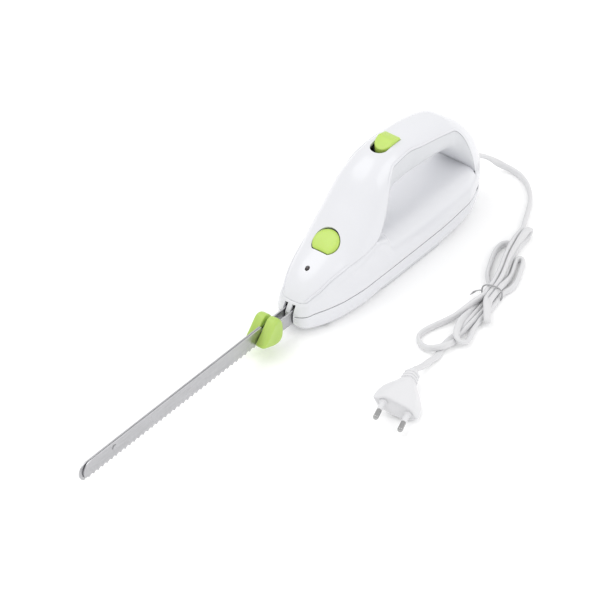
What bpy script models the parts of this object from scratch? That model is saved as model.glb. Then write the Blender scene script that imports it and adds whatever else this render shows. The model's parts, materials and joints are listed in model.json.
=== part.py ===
"""Mains uncapping knife with two serrated blades that a geared motor drives to and fro.

The knife lies along X, blade tips towards -X and cord towards +X, with Z up and the plane
Y = 0 between the blades. The origin is on the table, below the middle of the knife. Positions
along X are counted from a station 4 mm ahead of the nose, and one empty carries the whole knife
to its place. Sizes are in millimetres and become metres when a mesh is made. "Right" is the
-Y side, "left" is +Y.
"""

import math

import bmesh
import bpy
import numpy as np
from mathutils import Matrix, Vector

MM = 0.001
GAP = 0.3
SMALLEST_CAP = 0.05

# Casing
STATION_OFFSET = 4.5
WALL = 2.2
SEAM_Z = 17.0
NOSE_X, NOSE_REACH = 4.0, 9.0
TAIL_X, TAIL_REACH = 220.0, 36.0
TAIL_TUCK, TAIL_TUCK_Z = 8.0, 24.0
SIDE_TUCK = 0.04
COVER_ROUNDNESS = 2.5
BASE_ROUNDNESS = 6.0
GRIP_ROUNDNESS, HOOD_ROUNDNESS = 4.0, 14.0
TOP_LINE = [(4, 19.5), (8, 26), (27, 44.6), (48, 55.5), (67, 74), (89, 96), (104, 102), (116, 103.7),
            (135.5, 103.2), (150, 101.3), (171, 96), (183.5, 87.7), (196.5, 76), (208.5, 60), (220, 34)]
COVER_WIDTH = [(4, 13.4), (13, 14.5), (28, 20), (43, 24), (67, 26.5), (85, 26.5), (100, 24.3),
               (118, 21.3), (140, 20.5), (220, 20)]
COVER_LEVEL = [(4, 17.9), (13, 19.5), (28, 22), (48, 26.5), (74, 33), (90, 42), (105, 62), (120, 71),
               (146, 71), (170, 64), (183, 52), (196, 36), (220, 24)]
POD_WIDTH = [(4, 13.4), (13, 14.5), (28, 20), (43, 24), (67, 26.3), (85, 26.3), (145, 26), (187, 23),
             (200, 21), (220, 20)]
FLOOR_LINE = [(74, 50.8), (80, 49.6), (88, 47.2), (98, 45.3), (112, 44.6), (150, 44.6), (180, 43.5),
              (220, 41)]
BLEND_X, BLEND_LENGTH = 74.0, 18.0
CREASE_LINE = [(-20, 45), (5, 30), (9, 27), (18, 31), (30.6, 38), (43, 42.3), (58.9, 46.6), (68, 49.2),
               (74.9, 51.8), (79.5, 57.2), (84.9, 66.8), (92.1, 79), (99.9, 90.3), (106.6, 95), (123, 96.2),
               (137.5, 93.8), (153, 91), (167, 87.5), (177, 84), (184, 77), (190, 65), (195, 50),
               (198, 38), (200.5, 26), (202, 12)]
UNDER_LINE = [(78, 53.5), (86, 56), (94, 62), (102, 70), (112, 74.3), (140, 74.6), (160, 72.5),
              (172, 68.5), (181, 61.5), (189, 51.5), (195, 45.6), (198, 44.8)]
BASE_LINE = [(4, 12.5), (7, 8), (13, 4), (22, 2), (32, 1.3), (60, 1.3), (80, 2.2), (165, 2.2), (180, 3),
             (193, 4.9), (207, 9), (220, 13)]
FOOT_X, FOOT_HALF_WIDTH, FOOT_TOP = (83.0, 156.0), 22.9, 4.2
SCREW_POSTS = [(30, -13.5, 34.6), (30, 13.5, 34.6), (172, -15, 41.3), (172, 15, 41.3)]

# Blades
BLADE_Z, BLADE_HEIGHT, BLADE_THICK = 17.9, 14.8, 1.0
BLADE_FRONT, BLADE_REAR = -229.0, -27.0
BLADE_PLANE, SHANK_PLANE = 0.65, 3.25
SHANK_X, SHANK_END, SHANK_Z, SHANK_HEIGHT = -12.0, 43.5, 16.0, 11.0
TOOTH_PITCH, TOOTH_DEPTH = 5.0, 1.5
STROKE = 3.5
RIVET_X, RIVET_Z, RIVET_RADIUS = -192.0, 20.5, 1.5
SLOT_Z, SLOT_WIDTH = (8.3, 25.2), 2.8
GUARD_OUTLINE = [(-33.8, 13.4), (-33.2, 15.6), (-27.5, 21.8), (-22.4, 27.6), (-20, 29.4), (-17.4, 29.6),
                 (-14.2, 27.8), (-12, 24.4), (-11.2, 20), (-11.3, 14.4), (-12.6, 10.4), (-16, 8.4),
                 (-21, 8.6), (-27, 10.4), (-32, 12.1)]
GUARD_INNER, GUARD_OUTER = 1.45, 9.2

# Drive
WHEEL_CENTRE, WHEEL_RADIUS, WHEEL_TEETH, WHEEL_THICK = (70.0, 36.4), 10.0, 24, 8.0
WORM_X, WORM_RADIUS, WORM_PITCH = (61.0, 80.0), 4.2, 2.5
CRANK_RADIUS, CRANK_PIN = 3.5, 1.4
AXLE_RADIUS = 1.5
SHAFT_X, SHAFT_Z, SHAFT_RADIUS = (57.0, 168.0), 22.0, 1.6
BULKHEAD_X, FAN_X = 90.0, 99.0
CAN_X, CAN_RADIUS = (108.0, 158.0), 16.0
PLATE_Y = (5.6, 7.6)

# Controls
BUTTON_POINT, BUTTON_TILT = (48.0, 55.4), 31.0
BUTTON_RADIUS, BUTTON_CHORD = 10.2, 7.8
SWITCH_X, SWITCH_HALF_WIDTH, SWITCH_TRAVEL = (103.0, 125.6), 7.0, 5.0
LENS_X = 27.0

# Lead and plug
LEAD_RADIUS = 2.6
EXIT_Z = 27.0
CLAMP_X = 196.0
LEAD_FROM_KNIFE = [(223, 0, 27), (226.8, 0, 25.8), (231, 0, 23.2), (236.4, 0, 18.9), (242.1, -0.2, 13.6),
                   (247, -1.8, 8.5), (250.6, -5.4, 4.8), (252.2, -11.5, 3), (250.4, -20.5, 2.7),
                   (243.4, -32, 2.7), (230.3, -43.6, 2.7), (208.6, -55.2, 2.7)]
LEAD_TO_PLUG = [(45.5, -100.9, 2.7), (38, -100.6, 2.9), (31, -101, 4), (24, -102.2, 6.3),
                (17.6, -103.6, 8.9)]
HANK_OUTLINE = [(46, -88), (50, -78), (64, -73), (84, -76), (105, -81), (122.5, -82.6), (137, -74),
                (153, -63), (176, -54), (202, -58), (204, -66), (184, -78), (166, -90), (144, -97),
                (125.5, -97.4), (110, -103), (96, -110), (66, -110), (50, -99)]
HANK_Z = (2.5, 12.5)
TIE_POINT, TIE_RADIUS, TIE_HALF_SIZE, TIE_TURN = (124.0, -90.0), 1.0, (11.5, 6.4), 101.5
PLUG_FACE, PLUG_YAW, PLUG_ROLL = (-27.0, -119.6, 9.7), 202.3, -20.8
PIN_SPACING, PIN_RADIUS, PIN_LENGTH = 19.0, 2.0, 19.0


# ---------------------------------------------------------------- making and joining objects

def clear_scene():
    for old in list(bpy.data.objects):
        bpy.data.objects.remove(old, do_unlink=True)


def new_collection(name):
    collection = bpy.data.collections.new(name)
    bpy.context.scene.collection.children.link(collection)
    return collection


def material(name, colour, roughness, metallic=0.0):
    made = bpy.data.materials.new(name)
    made.use_nodes = True
    shader = made.node_tree.nodes["Principled BSDF"]
    shader.inputs["Base Color"].default_value = (*colour, 1.0)
    shader.inputs["Roughness"].default_value = roughness
    shader.inputs["Metallic"].default_value = metallic
    return made


def add_object(name, mesh, look=None):
    """A part with its material or, with no material, a hidden cutter."""
    made = bpy.data.objects.new(name, mesh)
    (PARTS if look else CUTTERS).objects.link(made)
    if look:
        mesh.materials.append(look)
    else:
        made.hide_render = True
        made.display_type = "WIRE"
    return made


def mesh_from(bm, name):
    bmesh.ops.recalc_face_normals(bm, faces=bm.faces)
    if bm.calc_volume(signed=True) < 0:
        bmesh.ops.reverse_faces(bm, faces=bm.faces)
    bmesh.ops.scale(bm, vec=(MM, MM, MM), verts=bm.verts)
    mesh = bpy.data.meshes.new(name)
    bm.to_mesh(mesh)
    bm.free()
    mesh.shade_smooth()
    mesh.set_sharp_from_angle(angle=math.radians(35))
    return mesh


def box(name, low, high, look=None):
    bm = bmesh.new()
    size = [b - a for a, b in zip(low, high)]
    middle = [(a + b) / 2 for a, b in zip(low, high)]
    bmesh.ops.create_cube(bm, size=1, matrix=Matrix.Translation(middle) @ Matrix.Diagonal((*size, 1)))
    return add_object(name, mesh_from(bm, name), look)


def pointing(axis):
    """Turns the Z axis to the axis named, so that a cylinder runs along it."""
    return {"X": Matrix.Rotation(math.pi / 2, 4, "Y"), "Y": Matrix.Rotation(-math.pi / 2, 4, "X"),
            "Z": Matrix.Identity(4)}[axis]


def cylinder(name, centre, radius, length, axis="Z", look=None, sides=20, end_radius=None):
    bm = bmesh.new()
    bmesh.ops.create_cone(bm, cap_ends=True, segments=sides, radius1=radius,
                          radius2=radius if end_radius is None else end_radius, depth=length,
                          matrix=Matrix.Translation(centre) @ pointing(axis))
    return add_object(name, mesh_from(bm, name), look)


def turned(name, profile, centre, axis, look, steps=24):
    """A solid turned about an axis through the centre: the profile gives (radius, height) up that axis."""
    mesh = bpy.data.meshes.new(name)
    points = [(radius * MM, 0, height * MM) for radius, height in reversed(profile)]
    mesh.from_pydata(points, [(i, i + 1) for i in range(len(points) - 1)], [])
    made = add_object(name, mesh, look)
    made.matrix_world = Matrix.Translation(Vector(centre) * MM) @ pointing(axis)
    screw = made.modifiers.new("turn", "SCREW")
    screw.steps = screw.render_steps = steps
    screw.use_merge_vertices = True
    screw.merge_threshold = 0.00001
    screw.use_normal_calculate = False
    return made


def as_mesh(curve_object, look):
    """The curve's solid as a mesh object of the same name and place."""
    bpy.context.view_layer.update()
    mesh = bpy.data.meshes.new_from_object(curve_object.evaluated_get(bpy.context.evaluated_depsgraph_get()))
    name, place = curve_object.name, curve_object.matrix_world.copy()
    bpy.data.objects.remove(curve_object, do_unlink=True)
    bm = bmesh.new()
    bm.from_mesh(mesh)
    bmesh.ops.remove_doubles(bm, verts=bm.verts, dist=0.00001)
    bmesh.ops.recalc_face_normals(bm, faces=bm.faces)
    bm.to_mesh(mesh)
    bm.free()
    mesh.materials.clear()
    made = add_object(name, mesh, look)
    made.matrix_world = place
    return made


def poly_curve(name, points, closed=False, dimensions="3D"):
    curve = bpy.data.curves.new(name, "CURVE")
    curve.dimensions = dimensions
    spline = curve.splines.new("POLY")
    spline.points.add(len(points) - 1)
    for place, point in zip(spline.points, points):
        place.co = (*(Vector(point).to_3d() * MM), 1)
    spline.use_cyclic_u = closed
    made = bpy.data.objects.new(name, curve)
    PARTS.objects.link(made)
    return made


def plate(name, outline, low, high, look=None, plane="XZ"):
    """A flat outline, in the XZ or the XY plane, made solid from low to high across that plane."""
    made = poly_curve(name, outline, closed=True, dimensions="2D")
    made.data.fill_mode = "BOTH"
    made.data.extrude = (high - low) / 2 * MM
    middle = (low + high) / 2 * MM
    if plane == "XZ":
        made.matrix_world = Matrix.Translation((0, middle, 0)) @ Matrix.Rotation(math.pi / 2, 4, "X")
    else:
        made.matrix_world = Matrix.Translation((0, 0, middle))
    return as_mesh(made, look)


def tube(name, points, radius, look, closed=False):
    made = poly_curve(name, points, closed)
    made.data.bevel_depth = radius * MM
    made.data.bevel_resolution = 2
    made.data.use_fill_caps = True
    return as_mesh(made, look)


def loft(name, rings, look=None):
    """A closed solid through rings of the same number of points. A ring may shrink to a line."""
    bm = bmesh.new()
    rows = [[bm.verts.new(point) for point in ring] for ring in rings]
    count = len(rows[0])
    for row, following in zip(rows, rows[1:]):
        for i in range(count):
            bm.faces.new((row[i], row[(i + 1) % count], following[(i + 1) % count], following[i]))
    for row in (rows[0], rows[-1]):
        area = sum((a.co.cross(b.co) for a, b in zip(row, row[1:] + row[:1])), Vector()).length / 2
        if area > SMALLEST_CAP:
            bm.faces.new(row)
    bmesh.ops.remove_doubles(bm, verts=bm.verts, dist=0.02)
    return add_object(name, mesh_from(bm, name), look)


def boolean(target, other, operation="DIFFERENCE"):
    modifier = target.modifiers.new(other.name, "BOOLEAN")
    modifier.operation = operation
    modifier.object = other
    modifier.solver = "EXACT"


def cut(target, *others):
    for other in others:
        boolean(target, other)


def join(target, *others):
    for other in others:
        boolean(target, other, "UNION")


def set_origin(made, point):
    """Puts the object's origin on its joint's axis, with its solid left where it is."""
    place = Vector(point) * MM
    made.data.transform(Matrix.Translation(-place) @ made.matrix_world)
    made.matrix_world = Matrix.Translation(place)


# ---------------------------------------------------------------- smooth lines and the casing's form

def smooth_line(points):
    """A smooth line through the points, as a function of X, that never swings past them."""
    xs, ys = (np.array(values, float) for values in zip(*points))
    steps = np.diff(xs)
    slopes = np.diff(ys) / steps
    before, after = slopes[:-1], slopes[1:]
    same_way = before * after > 0
    inner = np.where(same_way, 2 * before * after / np.where(same_way, before + after, 1), 0)
    tangents = np.concatenate([slopes[:1], inner, slopes[-1:]])

    def height(x):
        x = min(max(x, xs[0]), xs[-1])
        k = min(max(int(np.searchsorted(xs, x)) - 1, 0), len(steps) - 1)
        t = (x - xs[k]) / steps[k]
        rise = (3 - 2 * t) * t * t
        start = t * (1 - t) ** 2 * steps[k] * tangents[k]
        end = t * t * (1 - t) * steps[k] * tangents[k + 1]
        return float(ys[k] + (ys[k + 1] - ys[k]) * rise + start - end)

    return height


top_line = smooth_line(TOP_LINE)
cover_width = smooth_line(COVER_WIDTH)
cover_level = smooth_line(COVER_LEVEL)
pod_width = smooth_line(POD_WIDTH)
floor_line = smooth_line(FLOOR_LINE)
crease_line = smooth_line(CREASE_LINE)
under_line = smooth_line(UNDER_LINE)
base_line = smooth_line(BASE_LINE)


def end_factor(x, wall):
    """How much of the width is left near the round nose and the round tail."""
    nose = max(0.0, (NOSE_X + NOSE_REACH - x) / (NOSE_REACH - wall))
    tail = max(0.0, (x - TAIL_X + TAIL_REACH) / (TAIL_REACH - wall))
    return math.sqrt(max(0.0, 1 - max(nose, tail) ** 2))


def tucked(x, z):
    """X of a point after the tail is drawn in below its widest level."""
    low = max(0.0, (TAIL_TUCK_Z - z) / TAIL_TUCK_Z)
    back = max(0.0, (x - TAIL_X + TAIL_REACH) / TAIL_REACH)
    return x - TAIL_TUCK * (low * back) ** 2


def lower_factor(x, z, level):
    """The sides lean in a little from their widest level down to the seam."""
    return 1 - SIDE_TUCK * max(0.0, (level - z) / max(level - SEAM_Z, 1)) ** 2


def round_factor(x, z, wall):
    """Width left at a height above the cover's widest level."""
    level, top = cover_level(x), top_line(x) - wall
    t = min(max(0.0, (z - level) / (top - level)), 1.0)
    return (1 - t ** COVER_ROUNDNESS) ** (1 / COVER_ROUNDNESS)


def cover_half_width(x, z, wall=0.0):
    width = (cover_width(x) - wall) * end_factor(x, wall)
    return width * round_factor(x, z, wall) * lower_factor(x, z, cover_level(x))


def section_heights(bottom, level, top, roundness, arc_count):
    """Heights up one side of a section, closer together where it turns over."""
    low = [bottom + (level - bottom) * i / 2 for i in range(2)]
    arc = [level + (top - level) * math.sin(math.pi / 2 * i / arc_count) ** (2 / roundness)
           for i in range(arc_count + 1)]
    return low + arc


def ring_from(x, side):
    """A closed section at X from the (half width, height) points up its right side."""
    right = [(tucked(x, z), -y, z) for y, z in side]
    left = [(tucked(x, z), y, z) for y, z in reversed(side)]
    return right + left[1:] if side[-1][0] < 1e-6 else right + left


def cover_ring(x, wall, bottom):
    level, top = cover_level(x), top_line(x) - wall
    heights = section_heights(bottom, level, top, COVER_ROUNDNESS, 5 if wall else 8)
    side = [(cover_half_width(x, z, wall), z) for z in heights[:-1]] + [(0.0, top)]
    return ring_from(x, side)


def pod_blend(x):
    t = min(max(0.0, (x - BLEND_X) / BLEND_LENGTH), 1.0)
    return t * t * (3 - 2 * t)


def pod_floor(x):
    """The pod's top: under the hood it follows the crease, and behind it is the grip's floor."""
    return floor_line(x) if x > BLEND_X else min(crease_line(x), top_line(x)) - 2 * GAP


def pod_half_width(x, z, share, wall):
    blend = pod_blend(x)
    hood = round_factor(x, z, wall) if x < BLEND_X + BLEND_LENGTH else 1.0
    width = (pod_width(x) - wall) * end_factor(x, wall) * lower_factor(x, z, cover_level(min(x, 48)))
    return width * (hood + (1 - hood) * blend) * share


def pod_ring(x, wall, bottom):
    """Square shouldered under the hood, and round shouldered along the grip's floor."""
    roundness = HOOD_ROUNDNESS + (GRIP_ROUNDNESS - HOOD_ROUNDNESS) * pod_blend(x)
    level, top = SEAM_Z + 1, pod_floor(x) - wall
    side = []
    for z in section_heights(bottom, level, top, roundness, 5 if wall else 7)[:-1]:
        t = max(0.0, (z - level) / (top - level))
        side.append((pod_half_width(x, z, (1 - t ** roundness) ** (1 / roundness), wall), z))
    return ring_from(x, side + [(0.0, top)])


def base_ring(x, wall, top):
    width = (pod_width(x) - wall) * end_factor(x, wall) * (1 - SIDE_TUCK)
    start = SEAM_Z - GAP
    bottom = min(base_line(x) + wall, start - 0.5)
    side = [(width, top)] * (top > start)
    steps = 4 if wall else 6
    for i in range(steps):
        turn = math.pi / 2 * i / steps
        drop = math.sin(turn) ** (2 / BASE_ROUNDNESS)
        side.append((width * math.cos(turn) ** (2 / BASE_ROUNDNESS), start - (start - bottom) * drop))
    return ring_from(x, side + [(0.0, bottom)])


def stations(*stretches):
    """X values along the casing: each stretch is (start, end, number of steps)."""
    found = []
    for start, end, steps in stretches:
        found += [start + (end - start) * i / steps for i in range(steps)]
    return found + [stretches[-1][1]]


def nose_and_tail(wall, middle):
    """Stations that close in on the two ends, where the outer section shrinks to an upright line."""
    nose = [NOSE_X + wall + NOSE_REACH * (1 - math.cos(math.pi / 2 * i / 4)) for i in range(4)]
    tail = [TAIL_X - wall - 20 * (1 - math.sin(math.pi / 2 * i / 6)) for i in range(1, 7)]
    return nose[1:] + middle + tail[:-1] if wall else nose + middle + tail


def crease_outline(shift_x, shift_z):
    """The region below the crease, as an outline in the XZ plane."""
    xs = stations((-20, 66, 9), (66, 110, 12), (110, 170, 6), (170, 202, 14))
    line = [(x + shift_x, crease_line(x) + shift_z) for x in xs]
    return line + [(202 + shift_x, -30), (-20, -30)]


# ---------------------------------------------------------------- casing

def button_frame():
    """The release button's own frame: Z out of the casing, X down the slope towards the nose."""
    x, z = BUTTON_POINT
    return Matrix.Translation((x, 0, z)) @ Matrix.Rotation(math.radians(-BUTTON_TILT), 4, "Y")


def button_disc(name, radius, chord, low, high, look=None):
    """A disc with its front cut straight, in the release button's frame."""
    half = math.acos(chord / radius)
    turns = [math.pi - half - (2 * math.pi - 2 * half) * i / 22 for i in range(23)]
    outline = [(radius * math.cos(turn), radius * math.sin(turn)) for turn in turns]
    made = plate(name, outline, low, high, look, plane="XY")
    frame = button_frame()
    frame.translation *= MM
    made.data.transform(frame @ made.matrix_world)
    made.matrix_world = Matrix.Identity(4)
    return made


def switch_outline(x_front, x_rear, half_width):
    turns = [math.pi / 2 + math.pi * i / 10 for i in range(11)]
    front = [(x_front + half_width + half_width * math.cos(turn), half_width * math.sin(turn))
             for turn in turns]
    return front + [(x_rear, -half_width), (x_rear, half_width)]


def make_top_cover():
    xs = nose_and_tail(0, stations((12, 66, 6), (66, 120, 8), (120, 178, 5), (178, 198, 4)))
    cover = loft("top_cover", [cover_ring(x, 0, SEAM_Z + GAP) for x in xs], WHITE)
    xs = nose_and_tail(WALL, stations((15, 66, 4), (66, 120, 5), (120, 178, 4), (178, 196, 3)))
    cut(cover, loft("cover_hollow", [cover_ring(x, WALL, SEAM_Z - 3) for x in xs]),
        plate("below_crease", crease_outline(0, 0), -60, 60),
        button_disc("button_hole", BUTTON_RADIUS + 0.35, BUTTON_CHORD + 0.35, -12, 14),
        plate("switch_hole", switch_outline(*SWITCH_X, SWITCH_HALF_WIDTH), 92, 112, plane="XY"),
        cylinder("lens_hole", (LENS_X, 0, 44), 1.8, 16),
        cylinder("exit_hole", (TAIL_X - 1, 0, EXIT_Z), 3.7, 20, "X"))


def make_handle_liner():
    def ring(x, wall, lift):
        edge = crease_line(x) - GAP
        under = min(under_line(x) + wall, edge - 0.4)
        half = cover_half_width(x, edge) - GAP - wall
        steps = 4 if wall else 6
        arc = [math.pi / 2 * i / steps for i in range(steps + 1)]
        side = [(half * math.cos(turn) ** 0.85, edge - (edge - under) * math.sin(turn) ** 0.85)
                for turn in arc]
        right = [(x, -y, z) for y, z in side]
        left = [(x, y, z) for y, z in reversed(side[:-1])]
        return [(x, -half, edge + lift)] * bool(lift) + right + left + [(x, half, edge + lift)] * bool(lift)

    xs = stations((79, 106, 7), (106, 172, 5), (172, 196, 7))
    liner = loft("handle_liner", [ring(x, 0, 0) for x in xs], WHITE)
    xs = stations((70, 79, 1), (79, 106, 5), (106, 172, 4), (172, 196, 6), (196, 201, 1))
    cut(liner, loft("liner_hollow", [ring(x, WALL - 0.2, 6) for x in xs]))


def make_main_housing():
    xs = nose_and_tail(0, stations((12, 73.5, 7), (74.5, 98, 5), (98, 178, 5), (178, 198, 3)))
    pod = loft("main_housing", [pod_ring(x, 0, SEAM_Z + GAP) for x in xs], WHITE)
    xs = nose_and_tail(WALL, stations((15, 73.5, 5), (74.5, 98, 3), (98, 178, 3), (178, 196, 2)))
    cut(pod, loft("pod_hollow", [pod_ring(x, WALL, SEAM_Z - 3) for x in xs]))
    behind = [(x - GAP, z) for x, z in crease_outline(0, 0) if x > 175 and z > 0]
    cut(pod, plate("behind_crease", behind + [(201.7, -20), (260, -20), (260, 120), (174, 120)], -60, 60),
        box("deck_opening", (33, -15, 34), (62, 15, 62)))
    for side in (-1, 1):
        y = side * SHANK_PLANE
        cut(pod, box(f"blade_slot_{side}", (-2, y - SLOT_WIDTH / 2, 8), (16, y + SLOT_WIDTH / 2, SLOT_Z[1])))
    for k, (x, y, top) in enumerate(SCREW_POSTS):
        join(pod, cylinder(f"post_{k}", (x, y, (top + SEAM_Z + 0.6) / 2), 3.2, top - SEAM_Z - 0.6, sides=10))
        cut(pod, cylinder(f"post_bore_{k}", (x, y, 18), 1.6, 20, sides=10))
    join(pod, box("spring_shelf", (37, -20.6, 29), (43, 20.6, 31)))


def make_base_cover():
    xs = nose_and_tail(0, stations((12, 60, 4), (60, 178, 5), (178, 198, 3)))
    base = loft("base_cover", [base_ring(x, 0, SEAM_Z - GAP) for x in xs], WHITE)
    xs = nose_and_tail(WALL, stations((15, 60, 3), (60, 178, 3), (178, 196, 2)))
    cut(base, loft("base_hollow", [base_ring(x, WALL, SEAM_Z + 4) for x in xs]))
    turns = [math.pi / 2 * k + math.pi / 6 * i for k in range(4) for i in range(4)]
    middle, half = (FOOT_X[0] + FOOT_X[1]) / 2, (FOOT_X[1] - FOOT_X[0]) / 2
    corner = 6.0
    foot = [(middle + math.copysign(half - corner, math.cos(turn + 0.01)) + corner * math.cos(turn),
             math.copysign(FOOT_HALF_WIDTH - corner, math.sin(turn + 0.01)) + corner * math.sin(turn))
            for turn in turns]
    join(base, plate("foot", foot, 0, FOOT_TOP, plane="XY"))
    for side in (-1, 1):
        y = side * SHANK_PLANE
        cut(base, box(f"slot_foot_{side}", (-2, y - SLOT_WIDTH / 2, SLOT_Z[0]), (16, y + SLOT_WIDTH / 2, 20)))
    for k, (x, y, _) in enumerate(SCREW_POSTS):
        join(base, cylinder(f"boss_{k}", (x, y, (SEAM_Z + 2.7) / 2), 4.2, SEAM_Z - 3.9, sides=10))
        cut(base, cylinder(f"screw_hole_{k}", (x, y, 8), 1.6, 20, sides=10),
            cylinder(f"head_hole_{k}", (x, y, 1.5), 3.1, 7, sides=10))
    join(base, box("clamp_block", (CLAMP_X - 4, -9.5, 6.9), (CLAMP_X + 4, 9.5, 24)))
    for side in (-1, 1):
        cut(base, cylinder(f"clamp_bore_{side}", (CLAMP_X, side * 6.5, 22), 1.2, 14, sides=10))


def make_screws():
    for name, (x, y, _) in zip(("front_right", "front_left", "rear_right", "rear_left"), SCREW_POSTS):
        turned(f"base_screw_{name}", [(0, 0), (2.7, 0), (2.7, 1.4), (1.3, 2.2), (1.3, 22), (0, 23)],
               (x, y, 2.7), "Z", STEEL, steps=12)
    for name, side in (("right", -1), ("left", 1)):
        turned(f"clamp_screw_{name}", [(0, 0), (0.9, 0.4), (0.9, 14.3), (2.1, 14.3), (2.1, 16), (0, 16)],
               (CLAMP_X, side * 6.5, 16.9), "Z", STEEL, steps=10)


# ---------------------------------------------------------------- blades

def blade_edge(x):
    """Height of the toothed lower edge: round hollows between points, one to each pitch."""
    along = ((x - BLADE_FRONT) / TOOTH_PITCH) % 1.0
    return BLADE_Z - BLADE_HEIGHT / 2 + TOOTH_DEPTH * math.sin(math.pi * along)


def blade_offset(x):
    """Distance of the blade's middle from Y = 0: together in front, apart where they enter the casing."""
    t = min(max(0.0, (x - BLADE_REAR - 1) / (SHANK_X - BLADE_REAR - 1)), 1.0)
    return BLADE_PLANE + (SHANK_PLANE - BLADE_PLANE) * t * t * (3 - 2 * t)


def blade_section(x, tip):
    """The lowest and highest point of the blade at X."""
    low, high = blade_edge(x), BLADE_Z + BLADE_HEIGHT / 2
    half = BLADE_HEIGHT / 2
    if x < tip + half:
        inset = half - math.sqrt(max(0.0, half ** 2 - (tip + half - x) ** 2)) * 0.98
        return max(low, BLADE_Z - half + inset), high - inset
    if x > BLADE_REAR + 1:
        return SHANK_Z - SHANK_HEIGHT / 2, SHANK_Z + SHANK_HEIGHT / 2
    return low, high


def make_blade(name, side, tip):
    xs = [tip + BLADE_HEIGHT / 2 * (1 - math.cos(math.pi / 2 * i / 5)) for i in range(1, 5)]
    first = BLADE_FRONT + math.ceil((xs[-1] - BLADE_FRONT) / (TOOTH_PITCH / 2)) * TOOTH_PITCH / 2
    while first < BLADE_REAR:
        if first - xs[-1] > 0.4:
            xs.append(first)
        first += TOOTH_PITCH / 2
    xs += [BLADE_REAR + 1, BLADE_REAR + 1.2] + stations((BLADE_REAR + 3, SHANK_X, 6)) + [0, SHANK_END]
    rings = []
    for x in xs:
        low, high = blade_section(x, tip)
        inner, outer = blade_offset(x) - BLADE_THICK / 2, blade_offset(x) + BLADE_THICK / 2
        rings.append([(x, side * inner, low), (x, side * inner, high), (x, side * outer, high),
                      (x, side * outer, low)])
    blade = loft(name, rings, BLADE_STEEL)
    y = side * SHANK_PLANE
    cut(blade, box(f"{name}_latch_notch", (24.2, y - 2, 19), (29.4, y + 2, 23)))
    return blade


def make_blades():
    right = make_blade("blade_right", -1, BLADE_FRONT + 1.5)
    left = make_blade("blade_left", 1, BLADE_FRONT)
    hole = RIVET_RADIUS + GAP
    cut(right, cylinder("rivet_hole", (RIVET_X, -BLADE_PLANE, RIVET_Z), hole, 3, "Y", sides=10))
    reach = 2 * STROKE + 0.4
    turns = [math.pi / 2 + math.pi * i / 6 for i in range(7)]
    ends = [(RIVET_X + way * (reach + hole * abs(math.cos(turn))), RIVET_Z + way * hole * math.sin(turn))
            for way in (-1, 1) for turn in turns]
    cut(left, plate("rivet_slot", ends, -1, 3))
    turned("blade_rivet", [(0, -1.75), (2.1, -1.6), (2.1, -1.45), (RIVET_RADIUS, -1.45), (RIVET_RADIUS, 1.45),
                           (2.3, 1.45), (2.3, 1.65), (0, 1.8)], (RIVET_X, 0, RIVET_Z), "Y", BLADE_STEEL, 14)


def between(before, start, end, after, t):
    """A point of the smooth curve from start to end, at the share t of the way. Numbers or vectors."""
    bend = 2 * before - 5 * start + 4 * end - after
    twist = 3 * start - before - 3 * end + after
    return 0.5 * (2 * start + (end - before) * t + bend * t ** 2 + twist * t ** 3)


def closed_curve(points, steps):
    """A smooth closed outline through the points."""
    outline = []
    for k, start in enumerate(points):
        before, end, after = points[k - 1], points[(k + 1) % len(points)], points[(k + 2) % len(points)]
        for i in range(steps):
            outline.append(tuple(between(*four, i / steps) for four in zip(before, start, end, after)))
    return outline


def make_guard(name, side):
    """A thumb guard: a pad with a front that leans back, hollow on the inside for the blade's shank."""
    outline = closed_curve(GUARD_OUTLINE, 2)
    middle = [sum(values) / len(outline) for values in zip(*outline)]
    depth = GUARD_OUTER - GUARD_INNER
    rings = []
    for share, size in ((0, 0.97), (0.1, 1), (0.62, 1), (0.84, 0.94), (0.95, 0.83), (1, 0.66)):
        y = side * (GUARD_INNER + depth * share)
        rings.append([(middle[0] + (x - middle[0]) * size, y, middle[1] + (z - middle[1]) * size)
                      for x, z in outline])
    guard = loft(name, rings, GREEN)
    low, high = sorted((0, side * (SHANK_PLANE + 1.1)))
    shank = SHANK_HEIGHT / 2 + 0.5
    cut(guard, box(f"{name}_hollow", (BLADE_REAR - 0.6, low, SHANK_Z - shank), (0, high, SHANK_Z + shank)))


# ---------------------------------------------------------------- drive

def make_carriage(name, side):
    """A sliding yoke that holds one blade's shank and straddles the wheel's crank pin."""
    near, far = sorted((side * PLATE_Y[0], side * PLATE_Y[1]))
    x, z = WHEEL_CENTRE
    outline = [(20, 8.8), (20, 23.4), (48, 23.4), (57, z + 8), (84, z + 8), (84, z - 8), (62, z - 8),
               (50, 8.8)]
    carriage = plate(name, outline, near, far, WHITE_POM)
    inner, outer = sorted((side * 1.2, side * (PLATE_Y[0] + 0.5)))
    join(carriage, box(f"{name}_block", (20, inner, 8.8), (46, outer, 23.4)))
    y = side * SHANK_PLANE
    cut(carriage, box(f"{name}_pocket", (10, y - 0.9, 10), (44, y + 0.9, 22)),
        box(f"{name}_latch_window", (22.6, y - 1.3, 16), (31, y + 1.3, 30)),
        box(f"{name}_arm_relief", (38, y - 1.3, 21.8), (47, y + 1.3, 30)),
        box(f"{name}_yoke", (x - 8.9, -20, z - 5.4), (x + 8.9, 20, z + 5.4)))


def toothed_outline(radius, teeth, depth):
    """A gear or fan outline with one square tooth to each pitch."""
    outline = []
    for tooth in range(teeth):
        for share, r in ((0.0, radius - depth), (0.22, radius), (0.52, radius), (0.74, radius - depth)):
            turn = 2 * math.pi * (tooth + share) / teeth
            outline.append((r * math.cos(turn), r * math.sin(turn)))
    return outline


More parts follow.
